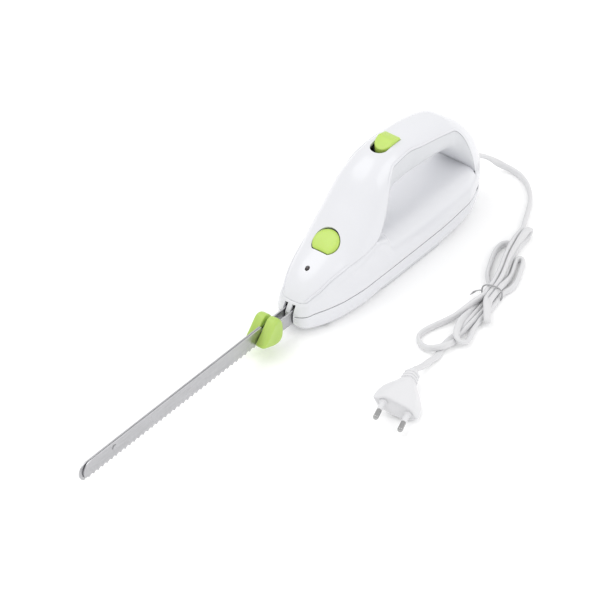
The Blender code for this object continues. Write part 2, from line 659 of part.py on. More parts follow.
def make_worm_wheel():
    x, z = WHEEL_CENTRE
    rim = [(x + a, z + b) for a, b in toothed_outline(WHEEL_RADIUS, WHEEL_TEETH, 1.6)]
    half = WHEEL_THICK / 2
    wheel = plate("worm_wheel", rim, -half, half, WHITE_POM)
    for side in (-1, 1):
        pin = cylinder(f"crank_pin_{side}", (x + side * CRANK_RADIUS, side * (half + 1.5), z), CRANK_PIN, 4,
                       "Y", sides=12)
        join(wheel, pin)
    cut(wheel, cylinder("axle_bore", (x, 0, z), AXLE_RADIUS + GAP, 30, "Y", sides=16))
    set_origin(wheel, (x, 0, z))
    cylinder("wheel_axle", (x, 0, z), AXLE_RADIUS, 21, "Y", STEEL, sides=16)
    for name, side in (("right", -1), ("left", 1)):
        low, high = sorted((side * 8.2, side * 10.2))
        outline = [(x - 5, z - 5), (x - 5, z + 8.5), (x + 5, z + 8.5), (x + 5, z - 5)]
        bracket = plate(f"axle_bracket_{name}", outline, low, high, STEEL)
        bore = cylinder(f"bracket_bore_{name}", (x, side * 9, z), AXLE_RADIUS + GAP, 6, "Y", sides=16)
        cut(bracket, bore)


def make_motor():
    front, rear = CAN_X
    centre = (0, 0, SHAFT_Z)
    length = rear - front
    can = cylinder("motor_can", (front + length / 2, 0, SHAFT_Z), CAN_RADIUS, length, "X", STEEL, 28)
    skin = 1.2
    hollow = (front + skin + length / 2, 0, SHAFT_Z)
    cut(can, cylinder("can_hollow", hollow, CAN_RADIUS - skin, length, "X", sides=28),
        cylinder("can_front_hole", (front, 0, SHAFT_Z), 4, 10, "X", sides=16))
    turned("motor_end_cap", [(2.2, rear + GAP), (CAN_RADIUS, rear + GAP), (CAN_RADIUS, rear + 3),
                             (6, rear + 5), (2.2, rear + 5), (2.2, rear + GAP)], centre, "X", BLACK, 24)
    worm_front, worm_rear = WORM_X
    ridges = [(WORM_RADIUS if i % 2 else WORM_RADIUS - 1, worm_front + WORM_PITCH * i / 2) for i in range(15)]
    inner = SHAFT_RADIUS + GAP
    worm = [(inner, worm_front)] + ridges + [(3.2, worm_rear), (inner, worm_rear), (inner, worm_front)]
    turned("worm", worm, centre, "X", BRASS, 16)
    middle, length = sum(SHAFT_X) / 2, SHAFT_X[1] - SHAFT_X[0]
    shaft = cylinder("motor_shaft", (middle, 0, SHAFT_Z), SHAFT_RADIUS, length, "X", STEEL, 14)
    set_origin(shaft, (middle, 0, SHAFT_Z))
    for name, low, high, bore, radius, look, steps in (
            ("rotor_core", 117, 147, inner, 11.5, STEEL, 20), ("commutator", 150, 156, inner, 5, BRASS, 16),
            ("front_bush", BULKHEAD_X - 2.5, BULKHEAD_X + 2.5, inner, 4, BRASS, 16),
            ("motor_ring_front", 112.5, 117.5, CAN_RADIUS + GAP, 17.3, BLACK, 24),
            ("motor_ring_rear", 148.5, 153.5, CAN_RADIUS + GAP, 17.3, BLACK, 24)):
        ring = [(bore, low), (radius, low), (radius, high), (bore, high), (bore, low)]
        turned(name, ring, centre, "X", look, steps)
    fan = plate("cooling_fan", toothed_outline(13, 7, 7), -3, 3, BLACK, plane="XY")
    fan.matrix_world = Matrix.Translation(Vector((FAN_X, 0, SHAFT_Z)) * MM) @ pointing("X")
    cut(fan, cylinder("fan_bore", (FAN_X, 0, SHAFT_Z), inner, 20, "X", sides=14))
    half = [(14, 6), (19, 14), (19, 32), (13, 38)]
    outline = half + [(-y, z) for y, z in reversed(half)]
    bulkhead = plate("bearing_bulkhead", outline, -1.2, 1.2, WHITE_POM)
    quarter_turn = Matrix.Rotation(math.pi / 2, 4, "Z")
    bulkhead.matrix_world = Matrix.Translation((BULKHEAD_X * MM, 0, 0)) @ quarter_turn @ bulkhead.matrix_world
    cut(bulkhead, cylinder("bulkhead_bore", (BULKHEAD_X, 0, SHAFT_Z), 4.3, 10, "X", sides=16))


def make_board():
    box("rectifier_board", (168.6, -10.4, 12), (183.6, 10.4, 13.5), BOARD)
    box("bridge_rectifier", (170, -8, 13.8), (175.6, 0, 19), BLACK)
    cylinder("suppressor_capacitor", (179.6, 3, 16.9), 3, 12, "Y", look=AMBER, sides=14)


# ---------------------------------------------------------------- controls

def make_release_button():
    button = button_disc("release_button", BUTTON_RADIUS, BUTTON_CHORD, -6.2, 0.4, GREEN)
    join(button, button_disc("button_dome", BUTTON_RADIUS - 1.6, BUTTON_CHORD - 1.4, -1, 1.3),
         button_disc("button_flange", BUTTON_RADIUS + 1.8, BUTTON_CHORD + 1.5, -7.6, -6))
    for side in (-1, 1):
        low, high = sorted((side * 2.3, side * 4.3))
        join(button, box(f"button_leg_{side}", (45, low, 27.7), (48, high, 48.5)))
    join(button, box("spring_plate", (36.6, -4.3, 40.3), (48, 4.3, 42.3)))
    set_origin(button, (BUTTON_POINT[0], 0, BUTTON_POINT[1]))
    turns, count = 3, 27
    coil = []
    for i in range(count + 1):
        turn = 2 * math.pi * turns * i / count
        coil.append((40 + 2.9 * math.cos(turn), 2.9 * math.sin(turn), 31.9 + 7.6 * i / count))
    tube("release_spring", coil, 0.4, STEEL)


def make_latch(name, side):
    """A pawl on top of the carriage. Its hook drops into the notch of the blade's shank."""
    low, high = sorted((side * 2.3, side * 4.2))
    outline = [(25.6, 26.4), (50, 26.4), (50, 24.4), (29, 24.2), (28.2, 20), (25.6, 20)]
    latch = plate(name, outline, low, high, STEEL)
    inner, outer = sorted((side * 3, side * (PLATE_Y[0] - GAP)))
    trunnion = cylinder(f"{name}_trunnion", (36, (inner + outer) / 2, 25.4), 0.9, outer - inner, "Y", sides=10)
    join(latch, trunnion)
    set_origin(latch, (36, side * SHANK_PLANE, 25.4))


def make_switch():
    front, rear = SWITCH_X[0] + SWITCH_TRAVEL + GAP, SWITCH_X[1] - GAP
    half = SWITCH_HALF_WIDTH - GAP
    outline = [(front, 97), (front, 101.5), (front + 9, 106.4), (rear, 104.4), (rear, 97)]
    slider = plate("switch_slider", outline, -half, half, GREEN)
    modifier = slider.modifiers.new("round_front", "BOOLEAN")
    modifier.operation = "INTERSECT"
    modifier.object = plate("slider_plan", switch_outline(front, rear + 5, half), 90, 115, plane="XY")
    join(slider, box("slider_flange", (front + 1, -8.6, 95.4), (rear + 3, 8.6, 97.6)))
    set_origin(slider, ((front + rear) / 2, 0, 100))
    box("microswitch", (112, -5, 82), (132, 5, 92), BLACK)
    box("microswitch_lever", (114, -2.2, 92.4), (130, 2.2, 93), STEEL)
    z = top_line(LENS_X)
    profile = [(0, -6.2), (2.2, -6.2), (2.2, -5.3), (1.5, -5.3), (1.5, 0.2), (0, 0.8)]
    lens = turned("indicator_lens", profile, (LENS_X, 0, z), "Z", RED, 14)
    lens.location.z = (z - 0.3) * MM


# ---------------------------------------------------------------- lead, hank and plug

def smooth_route(points, spacing):
    """Points every few millimetres along a smooth curve through the route's own points."""
    points = [Vector(point) for point in points]
    padded = [points[0] * 2 - points[1]] + points + [points[-1] * 2 - points[-2]]
    route = []
    for before, start, end, after in zip(padded, padded[1:], padded[2:], padded[3:]):
        steps = max(1, round((end - start).length / spacing))
        route += [between(before, start, end, after, i / steps) for i in range(steps)]
    return route + [points[-1]]


def make_lead():
    tube("lead_from_knife", smooth_route(LEAD_FROM_KNIFE, 7), LEAD_RADIUS, CORD)
    tube("lead_to_plug", smooth_route(LEAD_TO_PLUG, 7), LEAD_RADIUS, CORD)
    plate("lead_hank", HANK_OUTLINE, *HANK_Z, CORD, plane="XY")
    inner = [(201.6, 0, EXIT_Z), (197, 0, EXIT_Z), (192, 0, 26.5), (188, 0, 23.6), (186, 0, 18)]
    tube("inner_lead", smooth_route(inner, 4), 1.7, CORD)
    turned("lead_bush", [(0, -18), (2.6, -18), (3.3, -12.5), (4.8, -12.5), (4.8, -10), (3.3, -10), (3.3, 0.3),
                         (4.3, 0.6), (3.3, 2.2), (0, 2.2)], (TAIL_X, 0, EXIT_Z), "X", CORD, 14)
    clamp = box("lead_clamp", (CLAMP_X - 3, -9.3, 29.1), (CLAMP_X + 3, 9.3, 30.9), WHITE_POM)
    for side in (-1, 1):
        cut(clamp, cylinder(f"clamp_hole_{side}", (CLAMP_X, side * 6.5, 29), 1.2, 10, sides=10))


def make_tie():
    """The wire tie: a ring round the waist of the hank."""
    across = Vector((math.cos(math.radians(TIE_TURN)), math.sin(math.radians(TIE_TURN)), 0))
    ring = []
    for i in range(16):
        turn = 2 * math.pi * i / 16
        out, up = (math.copysign(math.sqrt(abs(share)), share) for share in (math.cos(turn), math.sin(turn)))
        ring.append(Vector((*TIE_POINT, sum(HANK_Z) / 2)) + across * TIE_HALF_SIZE[0] * out
                    + Vector((0, 0, TIE_HALF_SIZE[1] * up)))
    tube("lead_tie", ring, TIE_RADIUS, TIE, closed=True)


def plug_place():
    return (Matrix.Translation(PLUG_FACE) @ Matrix.Rotation(math.radians(PLUG_YAW), 4, "Z")
            @ Matrix.Rotation(math.radians(PLUG_ROLL), 4, "X"))


def make_plug():
    """A flat two-pin plug. In its own frame X leaves through the pins and Y goes from pin to pin."""
    place = plug_place()

    def section(x, half_width, half_height, shoulder):
        quarter = [(half_width, 0.0), (half_width - (half_width - shoulder) * 0.5, half_height * 0.62),
                   (shoulder, half_height), (0.0, half_height)]
        top = quarter + [(-y, z) for y, z in reversed(quarter[:-1])]
        bottom = [(y, -z) for y, z in reversed(top[1:-1])]
        return [place @ Vector((x, y, z)) for y, z in top + bottom]

    rows = ((0, 17, 6.2, 10), (-1, 17.6, 6.85, 10.5), (-12, 16.2, 6.6, 9), (-22, 10, 5.6, 5),
            (-27, 5.4, 4.8, 3), (-30, 4.6, 4.4, 2.6), (-44, 3.4, 3.2, 2))
    loft("plug_body", [section(*row) for row in rows], CORD)
    metres = place.copy()
    metres.translation *= MM
    profile = [(0, GAP), (PIN_RADIUS, GAP), (PIN_RADIUS, PIN_LENGTH - 0.8), (PIN_RADIUS - 0.8, PIN_LENGTH),
               (0, PIN_LENGTH)]
    for name, side in (("right", -1), ("left", 1)):
        pin = turned(f"plug_pin_{name}", profile, (0, 0, 0), "X", STEEL, 14)
        pin.matrix_world = metres @ Matrix.Translation((0, side * PIN_SPACING / 2 * MM, 0)) @ pin.matrix_world


clear_scene()
PARTS = new_collection("uncapping_knife")
CUTTERS = new_collection("cutters")
CUTTERS.hide_render = True
WHITE = material("gloss white casing", (0.85, 0.86, 0.88), 0.2)
GREEN = material("lime green plastic", (0.6, 0.8, 0.18), 0.3)
BLADE_STEEL = material("ground blade steel", (0.62, 0.62, 0.63), 0.32, 1.0)
STEEL = material("plated steel", (0.7, 0.7, 0.7), 0.35, 1.0)
BRASS = material("brass", (0.75, 0.56, 0.25), 0.35, 1.0)
WHITE_POM = material("natural gear plastic", (0.8, 0.8, 0.76), 0.45)
BLACK = material("black plastic", (0.03, 0.03, 0.035), 0.5)
BOARD = material("circuit board", (0.1, 0.25, 0.1), 0.5)
AMBER = material("capacitor film", (0.6, 0.25, 0.08), 0.4)
RED = material("dark red lens", (0.08, 0.01, 0.01), 0.15)
CORD = material("white lead sheath", (0.86, 0.86, 0.86), 0.4)
TIE = material("grey wire tie", (0.35, 0.35, 0.36), 0.5)

make_top_cover()
make_handle_liner()
make_main_housing()
make_base_cover()
make_screws()
make_blades()
make_guard("guard_right", -1)
make_guard("guard_left", 1)
make_carriage("blade_carriage_right", -1)
make_carriage("blade_carriage_left", 1)
make_worm_wheel()
make_motor()
make_board()
make_release_button()
make_latch("blade_latch_right", -1)
make_latch("blade_latch_left", 1)
make_switch()
make_lead()
make_tie()
make_plug()

knife = bpy.data.objects.new("knife_place", None)
knife.location.x = STATION_OFFSET * MM
for placed in [*PARTS.objects, *CUTTERS.objects]:
    placed.parent = knife
PARTS.objects.link(knife)
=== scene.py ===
"""Looks of the uncapping knife: fine casing, blades, guards, controls, plug and the folded lead.

Lengths are in millimetres in the same stations as the part's own source, and place() turns them into
metres in the shared frame.
"""

import json
import math

import bmesh
import bpy
import numpy as np
from mathutils import Matrix, Vector


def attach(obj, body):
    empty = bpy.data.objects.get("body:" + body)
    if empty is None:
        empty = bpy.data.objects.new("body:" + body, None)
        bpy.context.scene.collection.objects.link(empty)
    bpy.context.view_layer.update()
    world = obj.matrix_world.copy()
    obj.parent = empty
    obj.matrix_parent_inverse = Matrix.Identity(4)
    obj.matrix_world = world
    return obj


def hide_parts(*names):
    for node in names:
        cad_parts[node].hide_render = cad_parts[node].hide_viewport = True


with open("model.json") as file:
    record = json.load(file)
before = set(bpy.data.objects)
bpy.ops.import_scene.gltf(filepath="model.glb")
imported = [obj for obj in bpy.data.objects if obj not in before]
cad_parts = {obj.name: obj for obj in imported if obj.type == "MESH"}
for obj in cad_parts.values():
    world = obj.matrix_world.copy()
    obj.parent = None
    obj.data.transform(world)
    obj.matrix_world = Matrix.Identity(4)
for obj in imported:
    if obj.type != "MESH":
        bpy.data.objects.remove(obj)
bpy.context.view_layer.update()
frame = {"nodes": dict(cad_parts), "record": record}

MM = 0.001
STATION_OFFSET = 4.5
GAP = 0.3
WALL = 2.0

# Camera
VIEW_AZIMUTH, VIEW_ELEVATION = -52.1, 37.4
VIEW_WIDTH, VIEW_DISTANCE = 0.42254, 8.0
AIM = (0.0206, -0.0019, 0.0238)
SENSOR = 36.0

# Studio
WORLD_STRENGTH, FLOOR_GLOW, FLOOR_Z = 0.92, 0.08, -0.0002

# Casing
SEAM_Z = 17.0
NOSE_X, NOSE_REACH = 4.0, 9.0
TAIL_X, TAIL_REACH = 220.0, 36.0
TAIL_TUCK, TAIL_TUCK_Z = 8.0, 24.0
SIDE_TUCK = 0.04
COVER_ROUNDNESS, BASE_ROUNDNESS = 2.5, 6.0
GRIP_ROUNDNESS, HOOD_ROUNDNESS = 4.0, 36.0
CREASE_GAP, LIP = 0.12, 0.3
TOP_LINE = [(4, 19.5), (8, 26), (27, 44.6), (48, 55.5), (67, 74), (89, 96), (104, 102), (116, 103.7),
            (135.5, 103.2), (150, 101.3), (171, 96), (183.5, 87.7), (196.5, 76), (208.5, 60), (220, 34)]
COVER_WIDTH = [(4, 13.4), (13, 14.5), (28, 20), (43, 24), (67, 26.5), (85, 26.5), (100, 24.3),
               (118, 21.3), (140, 20.5), (220, 20)]
COVER_LEVEL = [(4, 17.9), (13, 19.5), (28, 22), (48, 26.5), (74, 33), (90, 42), (105, 62), (120, 71),
               (146, 71), (170, 64), (183, 52), (196, 36), (220, 24)]
POD_WIDTH = [(4, 13.4), (13, 14.5), (28, 20), (43, 24), (67, 26.3), (85, 26.3), (145, 26), (187, 23),
             (200, 21), (220, 20)]
FLOOR_LINE = [(74, 51.4), (80, 49.6), (88, 47.2), (98, 45.3), (112, 44.6), (150, 44.6), (180, 43.5),
              (220, 41)]
BLEND_X, BLEND_LENGTH = 74.0, 18.0
CREASE_LINE = [(-20, 45), (5, 30), (9, 27), (18, 31), (30.6, 38), (43, 42.3), (58.9, 46.6), (68, 49.2),
               (74.9, 51.8), (79.5, 57.2), (84.9, 66.8), (92.1, 79), (99.9, 90.3), (106.6, 95), (123, 96.2),
               (137.5, 93.8), (153, 91), (167, 87.5), (177, 84), (184, 77), (190, 65), (195, 50),
               (198, 38), (200.5, 26), (202, 12)]
LINER_CURVE, LINER_WALL = 0.62, 1.6
UNDER_LINE = [(78, 52.6), (86, 54.5), (94, 60), (102, 67.6), (112, 71.6), (140, 71.8), (160, 70),
              (172, 66.5), (181, 59.5), (188, 50.5), (193, 44.6), (198, 38)]
BASE_LINE = [(4, 12.5), (7, 8), (13, 4), (22, 2), (32, 1.3), (60, 1.3), (80, 2.2), (165, 2.2), (180, 3),
             (193, 4.9), (207, 9), (220, 13)]
FOOT_X, FOOT_HALF_WIDTH, FOOT_CORNER = (83.0, 156.0), 21.6, 6.0
SCREW_PLACES = [(30, -13.5), (30, 13.5), (172, -15), (172, 15)]

# Blades and guards
BLADE_Z, BLADE_HEIGHT, BLADE_THICK = 17.9, 14.8, 1.0
BLADE_FRONT, BLADE_REAR = -229.0, -27.0
BLADE_PLANE, SHANK_PLANE = 0.65, 3.25
SHANK_X, SHANK_END, SHANK_Z, SHANK_HEIGHT = -12.0, 43.5, 16.0, 11.0
TOOTH_PITCH, TOOTH_DEPTH, BEVEL_HEIGHT, NEAR_SETBACK = 5.0, 1.7, 2.6, 3.2
CUTTING_EDGE, BACK_SOFTNESS, SHANK_SOFTNESS = 0.18, 0.18, 0.2
RIVET_X, RIVET_Z = -192.0, 20.5
SLOT_Z, SLOT_WIDTH, SLOT_REACH = (8.3, 25.2), 2.8, 16.0
GUARD_OUTLINE = [(-33.8, 13.4), (-33.2, 15.6), (-27.5, 21.8), (-22.4, 27.6), (-20, 29.4), (-17.4, 29.6),
                 (-14.2, 27.8), (-12, 24.4), (-11.2, 20), (-11.3, 14.4), (-12.6, 10.4), (-16, 8.4),
                 (-21, 8.6), (-27, 10.4), (-32, 12.1)]
GUARD_INNER, GUARD_OUTER = 1.45, 9.2

# Controls
BUTTON_POINT, BUTTON_TILT = (48.0, 55.4), 31.0
BUTTON_RADIUS, BUTTON_CHORD, BUTTON_CLEARANCE = 10.2, 7.8, 0.75
SWITCH_X, SWITCH_HALF_WIDTH, SWITCH_TRAVEL = (103.0, 125.6), 7.0, 5.0
LENS_X, LENS_HOLE = 27.0, 1.8
EXIT_Z, EXIT_HOLE = 27.0, 3.7

# Lead: (X, Y, Z, share on edge). The cord is a flat oval that stands on edge in the bundle.
CORD_WIDTH, CORD_THICK = 5.2, 3.3
LEAD_FROM_KNIFE = [(223, 0, 27, 0), (226.8, 0, 25.8, 0), (231, 0, 23.2, 0), (236.4, 0, 18.9, 0.1),
                   (242.1, -0.2, 13.6, 0.3), (247, -1.8, 8.5, 0.6), (250.6, -5.4, 4.8, 0.9),
                   (252.2, -11.5, 3, 1), (250.4, -20.5, 2.7, 1), (243.4, -32, 2.7, 1),
                   (230.3, -43.6, 2.7, 1), (208.6, -55.2, 2.7, 1), (200.6, -59.4, 3.4, 1),
                   (190, -63, 6, 1), (180, -66.3, 8, 1), (165, -71.5, 8, 1), (148, -79, 8, 1)]
BIG_LOOP = [(104, -87, 7.6, 1), (96, -85.2, 5.4, 1), (89, -83.2, 3.4, 1), (80, -80.3, 2.7, 1),
            (66, -76.6, 2.7, 1), (58, -76.4, 2.7, 1), (52.6, -79.4, 2.7, 1), (49, -85, 2.7, 1),
            (47.8, -91, 4, 1), (49.8, -96.6, 5.6, 1), (54.5, -100, 6, 1), (61, -101, 4.6, 1),
            (67, -100.4, 2.8, 1), (76, -98.6, 2.7, 1), (90, -97.1, 2.7, 1), (104, -95.4, 2.7, 1)]
UPPER_BAND = [(138, -87.9, 2.7, 1), (148, -83.8, 2.7, 1), (165, -76, 2.7, 1), (180, -70.6, 2.7, 1),
              (190, -68, 2.5, 0.5), (197, -66.7, 2.7, 0), (200.6, -66, 5.3, 0), (197, -66.7, 7.9, 0),
              (190, -68, 8.1, 0.5), (180, -70.2, 8, 1), (165, -75.4, 8, 1), (148, -82.9, 8, 1),
              (140, -86, 8, 1)]
STUB = [(110, -95.8, 9.6, 0.3), (104, -100.6, 9.1, 0), (99, -104.6, 7.8, 0), (96.2, -106.8, 5.8, 0),
        (99, -104.6, 3.9, 0), (104, -100.6, 5.2, 0), (110, -96.8, 7.1, 0.3)]
RIGHT_LOOP = [(142, -89.5, 5.4, 1), (152, -86, 2.7, 1), (162, -81.3, 2.7, 1), (168.8, -78.2, 2.7, 1),
              (171.9, -79.5, 2.7, 1), (170.4, -82.7, 2.7, 1), (164.5, -86, 2.7, 1), (158.2, -89, 2.7, 1),
              (147.8, -93.5, 2.7, 1), (139, -94.8, 2.7, 1)]
INNER_LOOP = [(106, -98.6, 2.7, 1), (96, -100, 2.7, 0.8), (86, -102.3, 2.5, 0.5), (77, -105.8, 2.6, 0.4),
              (70.4, -107.6, 3.6, 0.4), (66.4, -105.2, 5.6, 0.4), (68.2, -100.8, 7, 0.4),
              (73.5, -97.2, 7.4, 0.4), (80, -94.2, 7.3, 0.5), (88, -91.4, 6, 0.6), (98, -89.4, 4, 0.8),
              (107, -88, 2.7, 1)]
LEFT_LOOP = [(135.4, -78.6, 2.7, 1), (143, -71.6, 2.7, 1), (153.4, -66, 2.7, 1), (163, -61.6, 2.7, 1),
             (171, -58.9, 2.7, 1), (177.6, -58.6, 2.7, 1), (181, -61.6, 2.7, 1), (179.6, -65.6, 2.7, 1),
             (174, -68.8, 2.7, 1), (165, -72.3, 2.7, 1), (155, -76.6, 2.7, 1), (145, -81.4, 2.7, 1),
             (138, -84.6, 2.7, 1)]
LEAD_TO_PLUG = [(106, -91.6, 2.7, 1), (95, -93.2, 2.7, 1), (84, -94.6, 2.7, 0.8), (75, -95.4, 2.3, 0.4),
                (66, -95.8, 1.8, 0), (57.5, -96.9, 1.75, 0), (50, -99.3, 1.75, 0), (45.5, -100.4, 1.9, 0),
                (38, -100.6, 2.9, 0), (31, -101, 4, 0), (24, -102, 6.3, 0), (18.5, -102.8, 8.9, 0),
                (14.2, -104.1, 9.7, 0)]
TIE_POINT, TIE_TURN, TIE_LENGTH = (124.0, -90.0), 11.5, 8.0
LOW, HIGH = 2.7, 8.0
TIE_HALF_SIZE, TIE_Z, TIE_RADIUS = (7.9, 5.7), 6.2, 0.55
TIE_END = (114.9, -77.2, 4.0)

# Plug
PLUG_FACE, PLUG_YAW, PLUG_ROLL = (-27.0, -119.6, 9.7), 200.6, -20.8
PIN_SPACING, PIN_RADIUS, PIN_LENGTH, SLEEVE_LENGTH = 19.0, 2.0, 19.0, 9.5


# ---------------------------------------------------------------- making pieces

def place(point):
    return Vector(((point[0] + STATION_OFFSET) * MM, point[1] * MM, point[2] * MM))


def add_piece(name, bm, look, body="housing", replaced=(), sharp=40):
    mesh = bpy.data.meshes.new(name)
    bm.to_mesh(mesh)
    bm.free()
    mesh.shade_smooth()
    mesh.set_sharp_from_angle(angle=math.radians(sharp))
    mesh.materials.append(look)
    made = bpy.data.objects.new(name, mesh)
    bpy.context.scene.collection.objects.link(made)
    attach(made, body)
    if replaced:
        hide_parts(*replaced)
    return made


def face_out(bm, inside):
    """Turns all faces the same way, away from a point inside."""
    bmesh.ops.recalc_face_normals(bm, faces=bm.faces)
    away = sum((face.normal.dot(face.calc_center_median() - inside) * face.calc_area() for face in bm.faces))
    if away < 0:
        bmesh.ops.reverse_faces(bm, faces=bm.faces)


def grid(rows, around=False, caps=False, inside=None, weld=0.004):
    """A surface through rows of the same number of points."""
    bm = bmesh.new()
    lines = [[bm.verts.new(place(point)) for point in row] for row in rows]
    count = len(rows[0])
    for a, b in zip(lines, lines[1:]):
        for i in range(count if around else count - 1):
            j = (i + 1) % count
            bm.faces.new((a[i], a[j], b[j], b[i]))
    if caps:
        for line in (lines[0], lines[-1]):
            if max((a.co - line[0].co).length for a in line) > 0.01 * MM:
                bm.faces.new(line)
    bmesh.ops.remove_doubles(bm, verts=bm.verts, dist=weld * MM)
    bmesh.ops.dissolve_degenerate(bm, edges=bm.edges, dist=5e-7)
    if inside:
        face_out(bm, place(inside))
    else:
        bmesh.ops.recalc_face_normals(bm, faces=bm.faces)
        if bm.calc_volume(signed=True) < 0:
            bmesh.ops.reverse_faces(bm, faces=bm.faces)
    return bm


def open_slots(bm, low, high):
    """Takes the blade slots out of a surface, between two heights."""
    edges = [(Vector((0, side * (SHANK_PLANE + way * SLOT_WIDTH / 2) * MM, 0)), Vector((0, 1, 0)))
             for side in (-1, 1) for way in (-1, 1)]
    edges += [(Vector((0, 0, z * MM)), Vector((0, 0, 1))) for z in (low, high)]
    for point, normal in edges:
        near = [v for v in bm.verts if v.co.x < (SLOT_REACH + STATION_OFFSET) * MM]
        part = {*near, *(e for v in near for e in v.link_edges), *(f for v in near for f in v.link_faces)}
        bmesh.ops.bisect_plane(bm, geom=list(part), dist=1e-7, plane_co=point, plane_no=normal)
    inside = []
    for face in bm.faces:
        x, y, z = (value / MM for value in face.calc_center_median())
        if x - STATION_OFFSET < SLOT_REACH and abs(abs(y) - SHANK_PLANE) < SLOT_WIDTH / 2 and low < z < high:
            inside.append(face)
    bmesh.ops.delete(bm, geom=inside, context="FACES")
    return bm


def cutter(name, bm):
    mesh = bpy.data.meshes.new(name)
    bm.to_mesh(mesh)
    bm.free()
    made = bpy.data.objects.new(name, mesh)
    bpy.context.scene.collection.objects.link(made)
    made.hide_render = True
    return made


def box_cutter(name, low, high):
    bm = bmesh.new()
    size = place(high) - place(low)
    middle = (place(high) + place(low)) / 2
    bmesh.ops.create_cube(bm, size=1, matrix=Matrix.Translation(middle) @ Matrix.Diagonal((*size, 1)))
    return cutter(name, bm)


def outline_cutter(name, outline, low, high):
    """An outline in the XY plane, made solid from low to high."""
    return cutter(name, grid([[(x, y, z) for x, y in outline] for z in (low, high)], around=True, caps=True))


def cut(target, *cutters, operation="DIFFERENCE", solver="EXACT"):
    for other in cutters:
        modifier = target.modifiers.new(other.name, "BOOLEAN")
        modifier.operation = operation
        modifier.object = other
        modifier.solver = solver


def thicken(target, thickness):
    modifier = target.modifiers.new("wall", "SOLIDIFY")
    modifier.thickness = thickness * MM
    modifier.offset = -1


def settle(target, sharp=40):
    """Applies the modifiers and removes the cutters that they used."""
    cutters = [m.object for m in target.modifiers if m.type == "BOOLEAN"]
    bpy.context.view_layer.update()
    mesh = bpy.data.meshes.new_from_object(target.evaluated_get(bpy.context.evaluated_depsgraph_get()))
    target.modifiers.clear()
    old = target.data
    target.data = mesh
    bpy.data.meshes.remove(old)
    mesh.shade_smooth()
    mesh.set_sharp_from_angle(angle=math.radians(sharp))
    for other in cutters:
        bpy.data.objects.remove(other)


# ---------------------------------------------------------------- lines

def smooth_line(points):
    """A smooth line through the points, as a function of X, that never swings past them."""
    xs, ys = (np.array(values, float) for values in zip(*points))
    steps = np.diff(xs)
    slopes = np.diff(ys) / steps
    before, after = slopes[:-1], slopes[1:]
    same_way = before * after > 0
    inner = np.where(same_way, 2 * before * after / np.where(same_way, before + after, 1), 0)
    tangents = np.concatenate([slopes[:1], inner, slopes[-1:]])

    def height(x):
        x = min(max(x, xs[0]), xs[-1])
        k = min(max(int(np.searchsorted(xs, x)) - 1, 0), len(steps) - 1)
        t = (x - xs[k]) / steps[k]
        rise = (3 - 2 * t) * t * t
        start = t * (1 - t) ** 2 * steps[k] * tangents[k]
        end = t * t * (1 - t) * steps[k] * tangents[k + 1]
        return float(ys[k] + (ys[k + 1] - ys[k]) * rise + start - end)

    return height


def between(before, start, end, after, t):
    """A point of the smooth curve from start to end, at the share t of the way."""
    bend = 2 * before - 5 * start + 4 * end - after
    twist = 3 * start - before - 3 * end + after
    return 0.5 * (2 * start + (end - before) * t + bend * t ** 2 + twist * t ** 3)


def closed_curve(points, steps):
    """A smooth closed outline through the points."""
    outline = []
    for k, start in enumerate(points):
        before, end, after = points[k - 1], points[(k + 1) % len(points)], points[(k + 2) % len(points)]
        for i in range(steps):
            outline.append(tuple(between(*four, i / steps) for four in zip(before, start, end, after)))
    return outline


def evenly(points, count):
    """The line through the points, cut into equal steps."""
    points = np.array(points, float)
    lengths = np.concatenate([[0], np.cumsum(np.linalg.norm(np.diff(points, axis=0), axis=1))])
    marks = np.linspace(0, lengths[-1], count)
    return [tuple(row) for row in np.array([np.interp(marks, lengths, column) for column in points.T]).T]


top_line = smooth_line(TOP_LINE)
cover_width = smooth_line(COVER_WIDTH)
cover_level = smooth_line(COVER_LEVEL)
pod_width = smooth_line(POD_WIDTH)
floor_line = smooth_line(FLOOR_LINE)
crease_line = smooth_line(CREASE_LINE)
under_line = smooth_line(UNDER_LINE)
base_line = smooth_line(BASE_LINE)


def end_factor(x):
    nose = max(0.0, (NOSE_X + NOSE_REACH - x) / NOSE_REACH)
    tail = max(0.0, (x - TAIL_X + TAIL_REACH) / TAIL_REACH)
    return math.sqrt(max(0.0, 1 - min(max(nose, tail), 1.0) ** 2))


def tucked(x, z):
    low = max(0.0, (TAIL_TUCK_Z - z) / TAIL_TUCK_Z)
    back = max(0.0, (x - TAIL_X + TAIL_REACH) / TAIL_REACH)
    return x - TAIL_TUCK * (low * back) ** 2


def lower_factor(z, level):
    return 1 - SIDE_TUCK * max(0.0, (level - z) / max(level - SEAM_Z, 1)) ** 2


def round_factor(x, z):
    level, top = cover_level(x), top_line(x)
    t = min(max(0.0, (z - level) / (top - level)), 1.0)
    return (1 - t ** COVER_ROUNDNESS) ** (1 / COVER_ROUNDNESS)


def cover_half_width(x, z):
    return cover_width(x) * end_factor(x) * round_factor(x, z) * lower_factor(z, cover_level(x))


def pod_blend(x):
    t = min(max(0.0, (x - BLEND_X) / BLEND_LENGTH), 1.0)
    return t * t * (3 - 2 * t)


def pod_floor(x):
    return floor_line(x) if x > BLEND_X else min(crease_line(x), top_line(x)) - CREASE_GAP


def pod_half_width(x, z, share):
    hood = round_factor(x, z) if x < BLEND_X + BLEND_LENGTH else 1.0
    width = pod_width(x) * end_factor(x) * lower_factor(z, cover_level(min(x, 48)))
    return width * (hood + (1 - hood) * pod_blend(x)) * share


def both_sides(x, side):
    """A row across the casing from the (half width, height) points up one side."""
    right = [(tucked(x, z), -y, z) for y, z in side]
    left = [(tucked(x, z), y, z) for y, z in reversed(side[:-1])]
    return right + left


def stretch(start, end, steps):
    return [start + (end - start) * i / steps for i in range(steps)]


